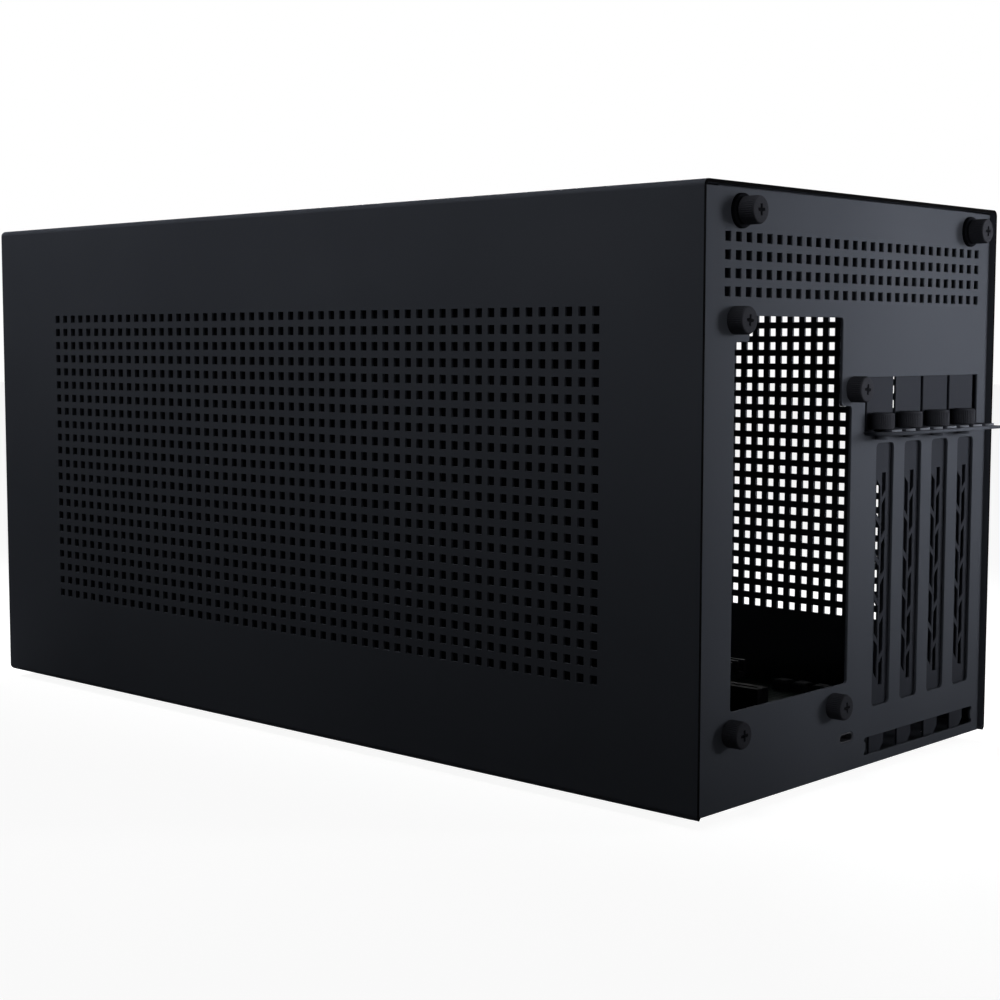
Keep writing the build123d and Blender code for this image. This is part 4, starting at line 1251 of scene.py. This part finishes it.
def fan_frame():
    """Moulded fan frame: duct between two square flanges, motor seat on struts."""
    half = fan_size / 2
    outline = filleted(rectangle(-half, -half, half, half), fan_corner)
    reach = fan_hole_pitch / 2
    holes = [circle(0, 0, fan_bore_radius, fan_steps)]
    holes += [circle(x, y, fan_hole_radius) for x in (-reach, reach) for y in (-reach, reach)]
    flanges = [
        lying(plate(outline, holes, fan_flange, fan_edge), middle)
        for middle in (fan_flange / 2, fan_depth - fan_flange / 2)
    ]
    outside = fan_bore_radius + fan_wall
    duct = rectangle(fan_bore_radius, fan_edge, outside, fan_depth - fan_edge)
    bore = shaft_radius + bearing_gap
    seat_top = fan_depth - motor_sheet
    seat = [
        (bore, fan_depth),
        (motor_radius - fan_edge, fan_depth),
        (motor_radius, fan_depth - fan_edge),
        (motor_radius, seat_top),
        (bearing_radius, seat_top),
        (bearing_radius, seat_top - bearing_height),
        (bore, seat_top - bearing_height),
    ]
    rings = [hollow(profile, fan_steps) for profile in (duct, seat)]
    strut = rectangle(motor_radius - strut_lap, -strut_width / 2, outside - fan_edge, strut_width / 2)
    strut = lying(plate(strut, [], motor_sheet, fan_edge), fan_depth - motor_sheet / 2)
    struts = round_about(strut, strut_count, math.pi / strut_count)
    mesh = smooth(joined("fan frame", [*flanges, *rings, struts]), crisp_angle=40)
    finished("fan_frame_moulding", in_fan(mesh), "chassis", "black_plastic", "fan_frame")


def fan_blade():
    """One cambered blade along X, steeper at its root than at its tip."""
    root = hub_radius - hub_wall / 2
    tip = fan_bore_radius - blade_tip_gap
    middle = hub_front + hub_height / 2
    form = bmesh.new()
    rings = []
    for span in range(blade_spans + 1):
        out = span / blade_spans
        radius = root + (tip - root) * out
        slope = math.radians(blade_angle + blade_twist * (1 - 2 * out))
        near_tip = max(0, out - blade_tip_start) / (1 - blade_tip_start)
        half = blade_chord / 2 * (1 - blade_tip_taper * near_tip)
        back = []
        front = []
        for step in range(blade_steps + 1):
            share = 2 * step / blade_steps - 1
            rise = blade_camber * (1 - share**2)
            sheet_here = blade_sheet * (1 - blade_edge_thinning * share**2)
            for side, height in ((back, rise), (front, rise - sheet_here)):
                across = half * share * math.cos(slope) - height * math.sin(slope)
                along = half * share * math.sin(slope) + height * math.cos(slope)
                turn = across / radius
                place = (radius * math.cos(turn), radius * math.sin(turn), middle + along)
                side.append(form.verts.new(place))
        rings.append([*back, *reversed(front)])
    bridged(form, rings)
    for ring in (rings[0], rings[-1]):
        for at in range(blade_steps):
            form.faces.new((ring[at], ring[at + 1], ring[-2 - at], ring[-1 - at]))
    return solid_from("fan blade", form)


def fan_rotor():
    """Moulded rotor: cup-shaped hub on its shaft, with cambered and twisted blades."""
    top = hub_front + hub_height
    shaft_end = fan_depth - motor_sheet / 2
    profile = [
        (0, hub_front),
        *rounded(hub_radius, hub_front, hub_rim, 1),
        (hub_radius, top),
        (hub_radius - hub_wall, top),
        (hub_radius - hub_wall, hub_front + hub_wall),
        (shaft_radius, hub_front + hub_wall),
        (shaft_radius, shaft_end),
        (0, shaft_end),
    ]
    parts = [turned(profile, fan_steps), round_about(fan_blade(), blade_count)]
    mesh = smooth(joined("fan rotor", parts), crisp_angle=40)
    finished("fan_rotor_moulding", in_fan(mesh), "rotor", "black_plastic", "fan_rotor")


def lamp(name, place, aim, size, power, spread=180):
    """Oblong soft box at a place, aimed at a point, in metres, with its light kept within an angle."""
    light = bpy.data.lights.new(name, "AREA")
    light.shape = "RECTANGLE"
    light.size, light.size_y = size
    light.energy = power
    light.spread = math.radians(spread)
    holder = shown(light)
    holder.location = place
    holder.rotation_euler = (Vector(aim) - Vector(place)).to_track_quat("-Z", "Y").to_euler()


def seen_directly(tree):
    """1 for rays from the camera and for their reflections and refractions, otherwise 0."""
    path = node(tree, "ShaderNodeLightPath").outputs
    seen = path["Is Camera Ray"]
    for kind in ("Is Glossy Ray", "Is Transmission Ray"):
        seen = node(tree, "ShaderNodeMath", {0: seen, 1: path[kind]}, operation="MAXIMUM")
    return seen


def white_studio():
    """White surroundings and a pale floor that keeps the shadow."""
    world = bpy.data.worlds.new("white studio")
    world.use_nodes = True
    bpy.context.scene.world = world
    tree = world.node_tree
    levels = {"Value": seen_directly(tree), "To Min": ambient, "To Max": 1.0}
    level = node(tree, "ShaderNodeMapRange", levels)
    wire(tree, tree.nodes["Background"], {"Strength": level, "Color": (1, 1, 1, 1)})

    material = bpy.data.materials.new("pale floor")
    material.use_nodes = True
    tree = material.node_tree
    tree.nodes.clear()
    pale = node(tree, "ShaderNodeBsdfDiffuse", {"Color": linear("#a0a0a0")})
    shine = {0: seen_directly(tree), 1: floor_glow}
    strength = node(tree, "ShaderNodeMath", shine, operation="MULTIPLY")
    glow = node(tree, "ShaderNodeEmission", {"Strength": strength})
    both = node(tree, "ShaderNodeAddShader", {0: pale, 1: glow})
    node(tree, "ShaderNodeOutputMaterial", {"Surface": both})
    form = bmesh.new()
    bmesh.ops.create_grid(form, x_segments=1, y_segments=1, size=floor_half)
    floor = shown(mesh_from("floor", form))
    floor.data.materials.append(material)


def studio_light():
    """Soft boxes with grids on the two faces in view, one overhead for the floor and one behind."""
    right = (-0.42, 0.62, 0.24)
    fill = (0.14, 0.78, 0.22)
    side = 0.098
    lamp("panel top", right, (-0.06, 0.2, 0.24), soft_box, power=0.077, spread=30)
    lamp("panel right", right, (-0.10, 0.2, 0.16), soft_box, power=0.174, spread=30)
    lamp("panel left", right, (0.06, 0.2, 0.22), soft_box, power=0.057, spread=30)
    lamp("panel fill", fill, (-0.06, 0.2, 0.18), soft_box, power=0.075, spread=26)
    lamp("side front", (0.20, -0.30, 0.40), (side, -0.30, 0.20), short_strip, power=0.058, spread=60)
    lamp("side front high", (0.30, -0.20, 0.50), (side, -0.20, 0.20), long_strip, power=0.049, spread=40)
    lamp("side middle", (0.24, 0.0, 0.46), (side, 0.0, 0.20), long_strip, power=0.026, spread=30)
    lamp("side middle high", (0.24, 0.05, 0.50), (side, 0.05, 0.24), long_strip, power=0.042, spread=30)
    lamp("side rear", (0.26, 0.10, 0.46), (side, 0.10, 0.16), short_strip, power=0.024, spread=30)
    lamp("overhead", (0, 0, 1.4), (0, 0, 0), (1.2, 1.2), power=2)
    lamp("behind", (-0.6, -0.6, 0.45), (0, 0, 0.1), (0.4, 0.4), power=3, spread=60)


def camera():
    """Camera of the photograph."""
    view = bpy.data.cameras.new("photograph")
    view.lens = camera_lens
    view.shift_x, view.shift_y = camera_shift
    view.clip_start = camera_near
    holder = shown(view)
    holder.location = camera_place
    holder.rotation_euler = [math.radians(angle) for angle in camera_turn]
    bpy.context.scene.camera = holder


outer_cover()
rear_panel()
data_port()
all_slot_covers()
all_thumbscrews()
screw_collars()
small_screws()
side_filter()
rubber_feet()
fan_frame()
fan_rotor()
white_studio()
studio_light()
camera()
bpy.context.scene.view_settings.view_transform = "Standard"
